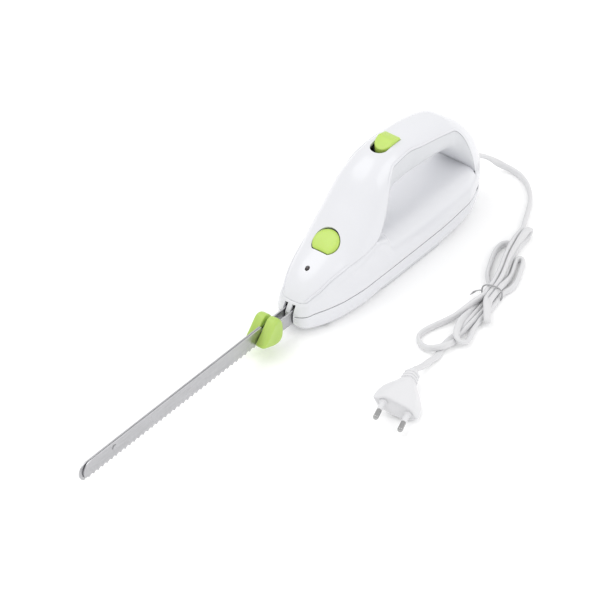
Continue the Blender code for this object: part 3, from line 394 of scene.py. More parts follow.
def nose_stations(steps):
    return [NOSE_X + NOSE_REACH * (1 - math.cos(math.pi / 2 * i / steps)) for i in range(steps)]


def tail_stations(steps):
    return [TAIL_X - 20 * (1 - math.sin(math.pi / 2 * i / steps)) for i in range(1, steps + 1)]


# ---------------------------------------------------------------- casing

def lipped(side, depth=LIP):
    """Rolls the first point of a side inwards, for a soft edge at the seam."""
    (y, z), (_, following) = side[0], side[1]
    way = math.copysign(1, following - z)
    return [(max(y - depth, 0), z), (max(y - depth * 0.3, 0), z + way * depth * 0.25),
            (y, z + way * depth)] + side[1:]


def cover_side(x):
    low = max(crease_line(x), SEAM_Z + GAP)
    top = top_line(x)
    level = cover_level(x)
    start = max(low, level)
    t0 = max(0.0, (start - level) / (top - level)) ** (COVER_ROUNDNESS / 2)
    turns = np.linspace(math.asin(min(t0, 1.0)), math.pi / 2, 80)
    heights = list(np.linspace(low, start, 30)[:-1]) if low < level else []
    heights += [level + (top - level) * math.sin(turn) ** (2 / COVER_ROUNDNESS) for turn in turns[:-1]]
    side = [(cover_half_width(x, z), z) for z in heights] + [(0.0, top)]
    return lipped(evenly(side, 34))


def cover_side_row(x):
    return both_sides(x, cover_side(x))


def cover_front():
    """The station at which the crease drops below the top line, found by halving."""
    low, high = 8.0, 14.0
    for _ in range(40):
        middle = (low + high) / 2
        low, high = (middle, high) if top_line(middle) < crease_line(middle) else (low, middle)
    return high


def make_top_cover():
    front = cover_front()
    xs = [front + 8 * (1 - math.cos(math.pi / 2 * i / 8)) for i in range(8)]
    xs += stretch(front + 8, 72, 30) + stretch(72, 112, 30) + stretch(112, 176, 34) + stretch(176, 200, 40)
    xs += tail_stations(22)
    cover = add_piece("top_cover_skin", grid([cover_side_row(x) for x in xs], inside=(110, 0, 60)),
                      CASING, replaced=["top_cover"])
    thicken(cover, WALL)
    plan = d_outline(BUTTON_RADIUS + BUTTON_CLEARANCE, BUTTON_CHORD + BUTTON_CLEARANCE)
    hole = outline_cutter("button_hole", plan, -12, 14)
    hole.data.transform(button_matrix())
    cut(cover, hole,
        outline_cutter("switch_hole", switch_outline(*SWITCH_X, SWITCH_HALF_WIDTH, 24), 92, 112),
        round_cutter("lens_hole", (LENS_X, 0, 44), LENS_HOLE, 16, "Z"),
        round_cutter("exit_hole", (TAIL_X - 1, 0, EXIT_Z), EXIT_HOLE, 20, "X"))
    settle(cover)


def pod_side(x):
    """Up the pod's side, over its shoulder and across to the middle."""
    roundness = HOOD_ROUNDNESS + (GRIP_ROUNDNESS - HOOD_ROUNDNESS) * pod_blend(x)
    level, top = SEAM_Z + 1, pod_floor(x)
    wall = [(pod_half_width(x, SEAM_Z + GAP, 1), SEAM_Z + GAP)]
    limit = crease_line(x) - GAP if x > 175 else top

    def point(turn):
        z = level + (top - level) * math.sin(turn) ** (2 / roundness)
        t = (z - level) / (top - level)
        return pod_half_width(x, z, (1 - t ** roundness) ** (1 / roundness)), min(z, limit)

    wall += [point(turn) for turn in np.linspace(0, math.pi / 4, 60)]
    roof = [point(turn) for turn in np.linspace(math.pi / 4, math.pi / 2, 60)[:-1]] + [(0.0, min(top, limit))]
    return lipped(evenly(wall, 28) + evenly(roof, 22)[1:])


def make_pod():
    xs = nose_stations(14) + stretch(13, 73.8, 40) + stretch(74.2, 98, 20) + stretch(98, 180, 34)
    xs += stretch(180, 201, 26)
    rows = [both_sides(x, pod_side(x)) for x in xs]
    surface = open_slots(grid(rows, inside=(100, 0, 25)), SEAM_Z - 1, SLOT_Z[1])
    pod = add_piece("pod_skin", surface, CASING, replaced=["main_housing"])
    thicken(pod, WALL)
    settle(pod)


def base_side(x):
    width = pod_width(x) * end_factor(x) * (1 - SIDE_TUCK)
    start = SEAM_Z - GAP
    bottom = base_line(x)
    side = []
    for turn in np.linspace(0, math.pi / 2, 80):
        drop = math.sin(turn) ** (2 / BASE_ROUNDNESS)
        out = max(math.cos(turn), 0) ** (2 / BASE_ROUNDNESS)
        side.append((width * out, start - (start - bottom) * drop))
    side[-1] = (0.0, bottom)
    return lipped(evenly(side, 40))


def make_base():
    xs = nose_stations(14) + stretch(13, 180, 60) + stretch(180, 200, 14) + tail_stations(22)
    surface = open_slots(grid([both_sides(x, base_side(x)) for x in xs], inside=(110, 0, 18)),
                         SLOT_Z[0], SEAM_Z + 1)
    base = add_piece("base_skin", surface, CASING, replaced=["base_cover"])
    thicken(base, WALL)
    for k, (x, y) in enumerate(SCREW_PLACES):
        cut(base, round_cutter(f"screw_well_{k}", (x, y, 2), 3.1, 8, "Z"), solver="MANIFOLD")
    settle(base)


def make_foot_pad():
    middle, half = sum(FOOT_X) / 2, (FOOT_X[1] - FOOT_X[0]) / 2

    def row(z, inset):
        """A rectangle with rounded corners, one corner after another."""
        points = []
        for k, (way_x, way_y) in enumerate(((1, 1), (-1, 1), (-1, -1), (1, -1))):
            for i in range(9):
                turn = math.pi / 2 * k + math.pi / 2 * i / 8
                x = middle + way_x * (half - FOOT_CORNER) + (FOOT_CORNER - inset) * math.cos(turn)
                y = way_y * (FOOT_HALF_WIDTH - FOOT_CORNER) + (FOOT_CORNER - inset) * math.sin(turn)
                points.append((x, y, z))
        return points

    rows = [row(z, inset) for z, inset in
            ((0, 1.2), (0, 0.6), (0.25, 0.15), (0.6, 0), (4.6, 0), (5, 0.3), (5.1, 1))]
    add_piece("foot_pad", grid(rows, around=True, caps=True), FOOT)


def make_liner():
    def row(x):
        edge = crease_line(x) - GAP
        under = min(under_line(x), edge - 0.4)
        half = cover_half_width(x, edge) - GAP
        side = [(half * max(math.cos(turn), 0) ** LINER_CURVE,
                 edge - (edge - under) * math.sin(turn) ** LINER_CURVE)
                for turn in np.linspace(0, math.pi / 2, 60)]
        side[-1] = (0.0, under)
        side = evenly(side, 26)
        return [(x, -y, z) for y, z in side] + [(x, y, z) for y, z in reversed(side[:-1])]

    xs = stretch(79, 112, 34) + stretch(112, 172, 24) + stretch(172, 198, 36) + [198]
    # The liner is drawn in the darker grip material, whose colour is painted shade for the grip's recess.
    liner = add_piece("grip_liner", grid([row(x) for x in xs], inside=(135, 0, 85)), GRIP_PAINTED_SHADE,
                      replaced=["handle_liner"])
    thicken(liner, LINER_WALL)
    settle(liner)


# ---------------------------------------------------------------- blades and guards

def blade_offset(x):
    t = min(max(0.0, (x - BLADE_REAR - 1) / (SHANK_X - BLADE_REAR - 1)), 1.0)
    return BLADE_PLANE + (SHANK_PLANE - BLADE_PLANE) * t * t * (3 - 2 * t)


def blade_body(side):
    return "right_blade" if side < 0 else "left_blade"


def up_and_over(x, side, plane, low, high, soft):
    """Up a blade's inner face and over its softened back to its outer face."""
    inner, outer = plane - BLADE_THICK / 2, plane + BLADE_THICK / 2
    return [(x, side * inner, low), (x, side * inner, high - soft), (x, side * (inner + soft), high),
            (x, side * (outer - soft), high), (x, side * outer, high - soft)]


def make_blade(name, side, tip, node):
    """A serrated blade: round hollows between points, a ground bevel above them and a rounded tip."""
    half = BLADE_HEIGHT / 2
    inner, outer = BLADE_PLANE - BLADE_THICK / 2, BLADE_PLANE + BLADE_THICK / 2
    xs = [tip + half * (1 - math.cos(math.pi / 2 * i / 14)) for i in range(14)]
    xs += stretch(tip + half, BLADE_REAR, 390) + [BLADE_REAR]
    rings = []
    for x in xs:
        along = ((x - BLADE_FRONT) / TOOTH_PITCH) % 1.0
        scallop = TOOTH_DEPTH * math.sin(math.pi * along)
        low, high = BLADE_Z - half + scallop, BLADE_Z + half
        bevel = BLADE_Z - half + TOOTH_DEPTH + BEVEL_HEIGHT - 0.5 * (1 - math.sin(math.pi * along))
        if x < tip + half:
            inset = half - math.sqrt(max(0.0, half ** 2 - (tip + half - x) ** 2)) * 0.98
            low, high = max(low, BLADE_Z - half + inset), high - inset
            bevel = min(max(bevel, low), high)
        soft = min(BACK_SOFTNESS, (high - low) / 4)
        bevel = min(bevel, high - 2 * soft)
        rings.append(up_and_over(x, side, BLADE_PLANE, low, high, soft)
                     + [(x, side * outer, max(bevel, low + soft)), (x, side * (inner + CUTTING_EDGE), low)])
    add_piece(name, grid(rings, around=True, caps=True), BLADE, blade_body(side), [node],
              sharp=18)
    low, high = SHANK_Z - SHANK_HEIGHT / 2, SHANK_Z + SHANK_HEIGHT / 2
    rings = []
    for x in stretch(BLADE_REAR, SHANK_X, 24) + [SHANK_X, 0, SHANK_END]:
        plane = blade_offset(x)
        rings.append(up_and_over(x, side, plane, low, high, SHANK_SOFTNESS)
                     + [(x, side * (plane + BLADE_THICK / 2), low)])
    add_piece(f"{name}_shank", grid(rings, around=True, caps=True), BLADE, blade_body(side),
              sharp=25)


def make_rivet():
    rows = []
    for radius, y in ((0.01, -1.95), (0.9, -1.9), (1.7, -1.68), (2.1, -1.4), (1.5, -1.3), (1.5, 1.3),
                      (2.3, 1.4), (1.8, 1.7), (0.9, 1.88), (0.01, 1.92)):
        rows.append([(RIVET_X + radius * math.cos(turn), y, RIVET_Z + radius * math.sin(turn))
                     for turn in np.linspace(0, 2 * math.pi, 25)[:-1]])
    add_piece("rivet", grid(rows, around=True, caps=True), BLADE, "right_blade",
              ["blade_rivet"])


def make_guard(name, side, node):
    """A thumb guard: its front leans back, and its outer edge rolls over into a flat side."""
    outline = closed_curve(GUARD_OUTLINE, 6)
    middle = [sum(values) / len(outline) for values in zip(*outline)]
    depth = GUARD_OUTER - GUARD_INNER
    sizes = [(0, 0.95), (0.02, 0.985), (0.06, 1), (0.3, 1), (0.6, 1)]
    sizes += [(0.6 + 0.4 * math.sin(turn), 1 - 0.3 * (1 - math.cos(turn)) ** 1.15)
              for turn in np.linspace(0, math.pi / 2, 9)[1:]]

    def ring(size, y):
        return [(middle[0] + (x - middle[0]) * size, y, middle[1] + (z - middle[1]) * size)
                for x, z in outline]

    rings = [ring(size, side * (GUARD_INNER + depth * share)) for share, size in sizes]
    rings += [ring(size, side * (GUARD_OUTER - 0.12 + 0.1 * size)) for size in (0.5, 0.25, 0.02)]
    guard = add_piece(name, grid(rings, around=True, caps=True), GUARD, blade_body(side),
                      [node], sharp=60)
    low, high = sorted((0, side * (SHANK_PLANE + 1.1)))
    shank = SHANK_HEIGHT / 2 + 0.5
    cut(guard, box_cutter(f"{name}_hollow", (BLADE_REAR + 1.5, low, SHANK_Z - shank),
                          (0, high, SHANK_Z + shank)))
    settle(guard, 50)


# ---------------------------------------------------------------- controls

def button_matrix():
    """From the button's own frame, Z out of the casing, to the shared frame. Both are in metres."""
    x, z = BUTTON_POINT
    own = place((0, 0, 0))
    return Matrix.Translation(place((x, 0, z))) @ Matrix.Rotation(math.radians(-BUTTON_TILT), 4, "Y") \
        @ Matrix.Translation(-own)


def d_outline(radius, chord, inset=0.0, softness=2):
    """A disc with its front cut straight, with soft corners."""
    radius, chord = radius - inset, chord - inset
    half = math.acos(chord / radius)
    arc = [(radius * math.cos(turn), radius * math.sin(turn))
           for turn in np.linspace(math.pi - half, half - math.pi, 72)]
    flat = [(-chord, y) for y in np.linspace(arc[-1][1], arc[0][1], 26)[1:-1]]
    outline = np.array(arc + flat)
    for _ in range(softness):
        outline = 0.5 * outline + 0.25 * np.roll(outline, 1, 0) + 0.25 * np.roll(outline, -1, 0)
    return [tuple(point) for point in outline]


def make_button():
    rows = []
    for inset, z in ((1.2, -6), (0, -6), (0, -0.4), (0.12, 0.1), (0.45, 0.45), (1, 0.72), (2, 0.95),
                     (3.4, 1.12), (5, 1.22), (6.5, 1.27)):
        rows.append([(x, y, z) for x, y in d_outline(BUTTON_RADIUS, BUTTON_CHORD, inset)])
    bm = grid(rows, around=True, caps=True)
    bmesh.ops.transform(bm, matrix=button_matrix(), verts=bm.verts)
    add_piece("release_button_cap", bm, BUTTON, "button", ["release_button"], sharp=60)


def switch_outline(x_front, x_rear, half_width, steps):
    front = [(x_front + half_width + half_width * math.cos(turn), half_width * math.sin(turn))
             for turn in np.linspace(math.pi / 2, 3 * math.pi / 2, steps)]
    return front + [(x_rear, -half_width), (x_rear, half_width)]


def make_switch():
    """The trigger slider: a round front, a steep facet up to its crown and a long one down to the rear."""
    front, rear = SWITCH_X[0] + SWITCH_TRAVEL + GAP, SWITCH_X[1] - GAP
    half = SWITCH_HALF_WIDTH - GAP
    side = [(front - 1, 96), (front - 1, 101), (front + 9, 106.4), (rear, 104.4), (rear, 96)]
    rows = [[(x, y, z) for x, z in side] for y in (-half - 1, half + 1)]
    slider = add_piece("trigger_slider", grid(rows, around=True, caps=True), BUTTON,
                       "switch", ["switch_slider"])
    cut(slider, outline_cutter("slider_plan", switch_outline(front, rear + 5, half, 40), 90, 115),
        operation="INTERSECT")
    rounding = slider.modifiers.new("edges", "BEVEL")
    rounding.width = 0.55 * MM
    rounding.segments = 3
    rounding.limit_method = "ANGLE"
    rounding.angle_limit = math.radians(15)
    settle(slider, 60)


def round_cutter(name, centre, radius, length, axis):
    bm = bmesh.new()
    turn = Matrix.Rotation(math.pi / 2, 4, "Y") if axis == "X" else Matrix.Identity(4)
    bmesh.ops.create_cone(bm, cap_ends=True, segments=40, radius1=radius * MM, radius2=radius * MM,
                          depth=length * MM, matrix=Matrix.Translation(place(centre)) @ turn)
    return cutter(name, bm)


def lathe(name, profile, matrix, look, body="housing", replaced=(), steps=40):
    """A solid turned about the matrix's Z axis. The profile gives (radius, height)."""
    rows = [[(radius * math.cos(turn) - STATION_OFFSET, radius * math.sin(turn), height)
             for turn in np.linspace(0, 2 * math.pi, steps + 1)[:-1]] for radius, height in profile]
    bm = grid(rows, around=True, caps=True)
    bmesh.ops.transform(bm, matrix=matrix, verts=bm.verts)
    return add_piece(name, bm, look, body, replaced)


def make_lens_and_bush():
    z = top_line(LENS_X)
    slope = math.atan((top_line(LENS_X + 1) - top_line(LENS_X - 1)) / 2)
    up = Matrix.Translation(place((LENS_X, 0, z))) @ Matrix.Rotation(-slope, 4, "Y")
    lathe("pilot_lens", [(1.55, -4), (1.55, -0.25), (1.4, 0.05), (1.05, 0.3), (0.5, 0.42), (0.02, 0.46)],
          up, LENS, replaced=["indicator_lens"])
    out = Matrix.Translation(place((TAIL_X, 0, EXIT_Z))) @ Matrix.Rotation(math.pi / 2, 4, "Y")
    lathe("exit_bush", [(3.1, -14), (3.3, -1), (4.3, 0.2), (4.5, 0.7), (4.2, 1.3), (3.4, 2.0), (2.9, 2.2)],
          out, SHEATH, replaced=["lead_bush"])


def make_base_screws():
    """Cross-recessed heads in their wells under the base."""
    profile = [(1.3, -10), (1.3, 0), (2.7, 0), (2.75, 1.2), (2.4, 1.8), (1.5, 2.15), (0.02, 2.25)]
    for name, (x, y) in zip(("front_right", "front_left", "rear_right", "rear_left"), SCREW_PLACES):
        down = Matrix.Translation(place((x, y, 5))) @ Matrix.Rotation(math.pi, 4, "X")
        screw = lathe(f"screw_{name}", profile, down, STEEL,
                      replaced=[f"base_screw_{name}"], steps=28)
        for k, (a, b) in enumerate(((1.7, 0.4), (0.4, 1.7))):
            cut(screw, box_cutter(f"{name}_cross_{k}", (x - a, y - b, 1), (x + a, y + b, 4)))
        settle(screw)


# ---------------------------------------------------------------- lead

def tie_axes():
    turn = math.radians(TIE_TURN)
    return Vector((math.cos(turn), math.sin(turn), 0)), Vector((-math.sin(turn), math.cos(turn), 0))


def through_tie(across, height, way):
    """A strand's pass through the tie, towards +X for way 1 and -X for way -1."""
    along, side = tie_axes()
    points = []
    for share in (-1, 0, 1):
        x, y, _ = Vector((*TIE_POINT, 0)) + along * (share * way * TIE_LENGTH) + side * across
        points.append((x, y, height, 1.0))
    return points


def lead_route():
    """The whole lead: out to the bundle, seven passes through the tie and on to the plug."""
    return (LEAD_FROM_KNIFE + through_tie(3.5, HIGH, -1) + BIG_LOOP + through_tie(-1.75, LOW, 1)
            + UPPER_BAND + through_tie(0, HIGH, -1) + STUB + through_tie(-3.5, HIGH, 1) + RIGHT_LOOP
            + through_tie(-5.25, LOW, -1) + INNER_LOOP + through_tie(5.25, LOW, 1) + LEFT_LOOP
            + through_tie(1.75, LOW, -1) + LEAD_TO_PLUG)


def smooth_route(points, spacing):
    points = [np.array(point, float) for point in points]
    padded = [2 * points[0] - points[1]] + points + [2 * points[-1] - points[-2]]
    route = []
    for before, start, end, after in zip(padded, padded[1:], padded[2:], padded[3:]):
        steps = max(2, round(np.linalg.norm((end - start)[:3]) / spacing))
        route += [between(before, start, end, after, i / steps) for i in range(steps)]
    return route + [points[-1]]


def cord_profile():
    """The flat oval of the cord, as shares of its wide and its thick direction."""
    profile = []
    for turn in np.linspace(0, 2 * math.pi, 21)[:-1]:
        a, b = math.cos(turn), math.sin(turn)
        profile.append((math.copysign(abs(a) ** 0.8, a) * CORD_WIDTH / 2,
                        math.copysign(abs(b) ** 0.9, b) * CORD_THICK / 2))
    return profile


def make_lead():
    """One tube along the route. Its wide side turns from level to upright with the share on edge."""
    route = smooth_route(lead_route(), 1.6)
    centres = np.array([point[:3] for point in route])
    tangents = np.gradient(centres, axis=0)
    tangents /= np.linalg.norm(tangents, axis=1)[:, None]
    rings, wide = [], None
    profile = cord_profile()
    level = np.array([0.0, 1.0, 0.0])
    for centre, tangent, point in zip(centres, tangents, route):
        flat = np.cross(tangent, (0, 0, 1))
        if np.linalg.norm(flat) > 0.25:
            flat /= np.linalg.norm(flat)
            level = flat if flat @ level > 0 else -flat
        upright = np.cross(level, tangent)
        upright = upright if upright[2] > 0 else -upright
        edge = min(max(point[3], 0), 1) * math.pi / 2
        now = level * math.cos(edge) + upright * math.sin(edge)
        now -= tangent * (now @ tangent)
        now /= np.linalg.norm(now)
        if wide is not None and now @ wide < 0:
            now = -now
        wide = now
        thick = np.cross(tangent, wide)
        rings.append([tuple(centre + wide * a + thick * b) for a, b in profile])
    length = float(np.linalg.norm(np.diff(centres, axis=0), axis=1).sum()) * MM
    lead = add_piece("mains_lead", grid(rings, around=True, caps=True), SHEATH,
                     replaced=["lead_from_knife", "lead_hank", "lead_to_plug"], sharp=70)
    return lead, [tuple(place(point)) for point in centres[::2]], length


def make_tie_ring():
    along, side = tie_axes()
    ring = []
    for turn in np.linspace(0, 2 * math.pi, 49)[:-1]:
        out, up = (math.copysign(abs(share) ** 0.75, share) for share in (math.cos(turn), math.sin(turn)))
        ring.append(Vector((*TIE_POINT, TIE_Z)) + side * TIE_HALF_SIZE[0] * out
                    + Vector((0, 0, TIE_HALF_SIZE[1] * up)) + along * 1.2 * math.sin(turn))
    rings = []
    for k, centre in enumerate(ring):
        tangent = (ring[(k + 1) % len(ring)] - ring[k - 1]).normalized()
        normal = tangent.cross(along).normalized()
        rings.append([centre + (along * math.cos(turn) + normal * math.sin(turn)) * TIE_RADIUS
                      for turn in np.linspace(0, 2 * math.pi, 11)[:-1]])
    add_piece("tie_ring", grid(rings + rings[:1], around=True), TIE, replaced=["lead_tie"],
              sharp=70)


def make_tie_end():
    """The tie's flat end, twisted as it leaves the ring."""
    _, side = tie_axes()
    outline = ((1, 0), (0.8, 0.7), (0.25, 1), (-0.25, 1), (-0.8, 0.7), (-1, 0), (-0.8, -0.7), (-0.25, -1),
               (0.25, -1), (0.8, -0.7))
    start = Vector((*TIE_POINT, TIE_Z)) + side * TIE_HALF_SIZE[0]
    end = Vector(TIE_END)
    rows = []
    for share in np.linspace(0, 1, 30):
        centre = start.lerp(end, share) + Vector((0, 0, 1.4 * math.sin(math.pi * share)))
        tangent = (end - start).normalized()
        first = tangent.cross(Vector((0, 0, 1))).normalized()
        second = tangent.cross(first)
        twist = share * 0.7 * math.pi
        half = 1.0 * min(1.0, 0.5 + share * 1.4) * min(1.0, (1.02 - share) * 3)
        wide = first * math.cos(twist) + second * math.sin(twist)
        thin = tangent.cross(wide)
        rows.append([centre + wide * a * half + thin * b * 0.35 for a, b in outline])
    add_piece("tie_end", grid(rows, around=True, caps=True), TIE, sharp=70)


# ---------------------------------------------------------------- plug

def plug_matrix():
    """The plug's own frame: X out through the pins, Y from pin to pin."""
    return (Matrix.Translation(place(PLUG_FACE)) @ Matrix.Rotation(math.radians(PLUG_YAW), 4, "Z")
            @ Matrix.Rotation(math.radians(PLUG_ROLL), 4, "X"))


def plug_section(x, half_width, half_height, shoulder, sharpness):
    """A six-sided section: flat top and bottom as far as the shoulder, then slanted to the middle height."""
    lean = 1 - shoulder / half_width
    ring = []
    for turn in np.linspace(0, 2 * math.pi, 73)[:-1]:
        y, z = abs(math.cos(turn)) / half_width, abs(math.sin(turn)) / half_height
        reach = (z ** sharpness + (y + lean * z) ** sharpness) ** (-1 / sharpness)
        ring.append((x - STATION_OFFSET, reach * math.cos(turn), reach * math.sin(turn)))
    return ring


def plug_rows():
    """The plug's sections, as the values of plug_section: face, body, three ribs and the neck's end."""
    rows = [(-0.45, 0.5, 0.2, 0.3, 18), (-0.45, 15.2, 4.5, 8.8, 18), (-0.1, 15.6, 4.9, 9.1, 18),
            (0, 16.2, 5.4, 9.6, 18), (-0.25, 16.9, 6.1, 10, 18), (-0.8, 17.4, 6.6, 10.4, 18),
            (-2, 17.5, 6.8, 10.5, 17), (-6, 17.3, 6.9, 10.2, 14), (-11, 16.4, 6.7, 9.3, 10),
            (-17, 14.6, 6.4, 7.8, 7), (-22, 12, 6, 6, 5), (-26.5, 9.2, 5.6, 4.6, 4),
            (-30.5, 6.9, 5.2, 3.6, 3), (-32.6, 6.2, 5, 3.2, 2.6)]
    for k in range(3):
        x = -33 - 3.1 * k
        wide, high = 6.3 - 0.35 * k, 5.1 - 0.25 * k
        rows += [(x, wide - 0.7, high - 0.7, 3, 2.4), (x - 0.45, wide - 0.75, high - 0.75, 3, 2.4),
                 (x - 0.7, wide, high, 3.2, 2.4), (x - 1.6, wide + 0.15, high + 0.1, 3.2, 2.4),
                 (x - 2.6, wide, high, 3.2, 2.4)]
    rows += [(-42.4, 4.7, 3.8, 2.4, 2.3), (-44, 4.0, 3.0, 2.1, 2.2), (-46, 3.2, 2.4, 1.7, 2.1),
             (-46.4, 2.9, 2.1, 1.5, 2.1)]
    return rows


def make_plug():
    """A flat plug with a six-sided face that narrows to a ribbed neck, and two half-sleeved pins."""
    bm = grid([plug_section(*row) for row in plug_rows()], around=True, caps=True)
    bmesh.ops.transform(bm, matrix=plug_matrix(), verts=bm.verts)
    pieces = [add_piece("plug_moulding", bm, PLUG, replaced=["plug_body"], sharp=50)]
    sleeve = [(2.9, -0.6), (2.9, 0.3), (2.5, 0.7), (PIN_RADIUS - 0.02, 0.9),
              (PIN_RADIUS - 0.08, SLEEVE_LENGTH - 0.3), (PIN_RADIUS - 0.3, SLEEVE_LENGTH)]
    tip = [(PIN_RADIUS - 0.5, SLEEVE_LENGTH - 0.5), (PIN_RADIUS - 0.02, SLEEVE_LENGTH + 0.1),
           (PIN_RADIUS, SLEEVE_LENGTH + 0.5), (PIN_RADIUS, PIN_LENGTH - 1.5), (1.75, PIN_LENGTH - 0.7),
           (1.2, PIN_LENGTH - 0.15), (0.5, PIN_LENGTH), (0.02, PIN_LENGTH + 0.03)]
    for name, side in (("right", -1), ("left", 1)):
        out = (plug_matrix() @ Matrix.Translation((0, side * PIN_SPACING / 2 * MM, 0))
               @ Matrix.Rotation(math.pi / 2, 4, "Y"))
        pieces.append(lathe(f"pin_sleeve_{name}", sleeve, out, PLUG))
        pieces.append(lathe(f"pin_{name}", tip, out, PIN, replaced=[f"plug_pin_{name}"]))
    return pieces


# ---------------------------------------------------------------- materials

class Look:
    """A material with a few helpers for its node tree."""

    def __init__(self, name):
        self.material = bpy.data.materials.new(name)
        self.material.use_nodes = True
        self.nodes = self.material.node_tree.nodes
        self.links = self.material.node_tree.links
        self.shader = self.nodes["Principled BSDF"]
        self.coordinates = self.nodes.new("ShaderNodeTexCoord")

    def noise(self, scale, detail=4, roughness=0.5, squeeze=(1, 1, 1)):
        """A noise; a squeeze under 1 draws it out along that axis."""
        mapping = self.nodes.new("ShaderNodeMapping")
        mapping.inputs["Scale"].default_value = squeeze
        texture = self.nodes.new("ShaderNodeTexNoise")
        texture.inputs["Scale"].default_value = scale
        texture.inputs["Detail"].default_value = detail
        texture.inputs["Roughness"].default_value = roughness
        self.links.new(self.coordinates.outputs["Object"], mapping.inputs["Vector"])
        self.links.new(mapping.outputs["Vector"], texture.inputs["Vector"])
        return texture.outputs["Fac"]

    def ramp(self, source, *stops):
        ramp = self.nodes.new("ShaderNodeValToRGB")
        elements = ramp.color_ramp.elements
        while len(elements) < len(stops):
            elements.new(0.5)
        for element, (position, colour) in zip(elements, stops):
            element.position = position
            element.color = (*colour, 1)
        self.links.new(source, ramp.inputs["Fac"])
        return ramp.outputs["Color"]

    def spread(self, source, low, high):
        """The source, which is mostly from 0.3 to 0.7, spread over low to high."""
        mapped = self.nodes.new("ShaderNodeMapRange")
        mapped.inputs["From Min"].default_value = 0.3
        mapped.inputs["From Max"].default_value = 0.7
        mapped.inputs["To Min"].default_value = low
        mapped.inputs["To Max"].default_value = high
        self.links.new(source, mapped.inputs["Value"])
        return mapped.outputs["Result"]

    def set(self, name, value):
        if hasattr(value, "links"):
            self.links.new(value, self.shader.inputs[name])
        else:
            self.shader.inputs[name].default_value = value

    def bump(self, height, strength, distance):
        bump = self.nodes.new("ShaderNodeBump")
        bump.inputs["Strength"].default_value = strength
        bump.inputs["Distance"].default_value = distance
        self.links.new(height, bump.inputs["Height"])
        self.links.new(bump.outputs["Normal"], self.shader.inputs["Normal"])


def scaled(colour, share):
    return tuple(min(1.0, value * share) for value in colour)


def moulded(name, colour, roughness, grain=900, grain_depth=0.00002, coat=0.0, mottle=0.03):
    """Moulded plastic: faint flow mottling, a fine surface grain and uneven gloss."""
    look = Look(name)
    cloud = look.noise(14, 5)
    look.set("Base Color", look.ramp(cloud, (0.3, scaled(colour, 1 - mottle)), (0.7, colour)))
    look.set("Roughness", look.spread(look.noise(60, 6, 0.6), roughness - 0.02, roughness + 0.03))
    look.set("Coat Weight", coat)
    look.set("Coat Roughness", 0.12)
    look.bump(look.noise(grain, 3), 0.1, grain_depth)
    return look.material


def translucent(name, colour, deep, roughness, grain, depth):
    """Lime green plastic that glows a little, deeper green in random patches, with a grained face."""
    look = Look(name)
    look.set("Base Color", look.ramp(look.noise(40, 5), (0.3, deep), (0.7, colour)))
    look.set("Roughness", look.spread(look.noise(120, 5), roughness - 0.05, roughness + 0.07))
    look.set("Subsurface Weight", 0.15)
    look.set("Subsurface Radius", (0.004, 0.006, 0.001))
    look.set("Subsurface Scale", 0.5)
    look.bump(look.noise(grain, 4), 0.5, depth)
    return look.material


def metal(name, colour, roughness, squeeze, scale=500, streak=0.12, depth=0.00001):
    """Ground metal: streaks along the grind in its colour, gloss and surface."""
    look = Look(name)
    grind = look.noise(scale, 6, 0.65, squeeze)
    cloud = look.noise(45, 4)
    look.set("Base Color", look.ramp(grind, (0.25, scaled(colour, 1 - streak)), (0.5, colour),
                                     (0.8, scaled(colour, 1 + streak))))
    look.set("Metallic", 1.0)
    look.set("Roughness", look.spread(cloud, roughness - 0.06, roughness + 0.08))
    look.bump(grind, 0.35, depth)
    return look.material


CASING = moulded("white casing", (0.745, 0.75, 0.78), 0.24, coat=0.35, mottle=0.015)
# The grip liner's colour is darker than the casing's as painted shade in the grip's recess; its rougher, finer
# grain is the liner's own.
GRIP_PAINTED_SHADE = moulded("grip recess painted shade", (0.66, 0.67, 0.695), 0.34, grain=1500, grain_depth=0.00003, mottle=0.02)
FOOT = moulded("foot pad", (0.62, 0.63, 0.65), 0.4, grain=1600, grain_depth=0.00004, mottle=0.02)
SHEATH = moulded("lead sheath", (0.70, 0.70, 0.71), 0.42, grain=1300, grain_depth=0.00004, mottle=0.03)
PLUG = moulded("plug moulding", (0.73, 0.73, 0.745), 0.36, grain=1100, grain_depth=0.00003, mottle=0.02)
GUARD = translucent("green guard", (0.48, 0.66, 0.155), (0.40, 0.58, 0.10), 0.36, 1500, 0.0001)
BUTTON = translucent("green button", (0.515, 0.70, 0.145), (0.47, 0.655, 0.11), 0.3, 1200, 0.00002)
BLADE = metal("ground blade", (0.50, 0.50, 0.515), 0.32, (0.06, 1, 1.6), scale=1400, streak=0.14)
STEEL = metal("plated steel", (0.66, 0.66, 0.66), 0.34, (1, 1, 1), scale=700)
PIN = metal("nickel pin", (0.40, 0.40, 0.40), 0.2, (1, 1, 1), scale=500, streak=0.05)
BRASS = metal("turned brass", (0.75, 0.56, 0.25), 0.32, (1, 1, 1), scale=600)
GEAR = moulded("gear plastic", (0.78, 0.78, 0.72), 0.45)
BLACK = moulded("black plastic", (0.03, 0.03, 0.034), 0.5, mottle=0.3)
BOARD = moulded("circuit board", (0.08, 0.22, 0.09), 0.45, mottle=0.3)
AMBER = moulded("capacitor film", (0.55, 0.2, 0.06), 0.35, mottle=0.2)
LENS = moulded("pilot lens", (0.02, 0.008, 0.01), 0.1, coat=0.6, mottle=0.4)
TIE = moulded("wire tie", (0.42, 0.42, 0.43), 0.45, mottle=0.25)
LOOKS = {"white_casing": CASING, "green_plastic": GUARD, "blade_steel": BLADE, "plated_steel": STEEL,
         "plug_pins": PIN, "brass": BRASS, "gear_plastic": GEAR, "black_plastic": BLACK,
         "circuit_board": BOARD, "capacitor_film": AMBER, "lens": LENS, "white_sheath": SHEATH, "wire_tie": TIE}


def dress_cad_nodes():
    for part in frame["record"]["subparts"]:
        slots = frame["nodes"][part["node"]].data.materials
        slots.clear()
        slots.append(LOOKS[part["material_slot"]])


# ---------------------------------------------------------------- studio

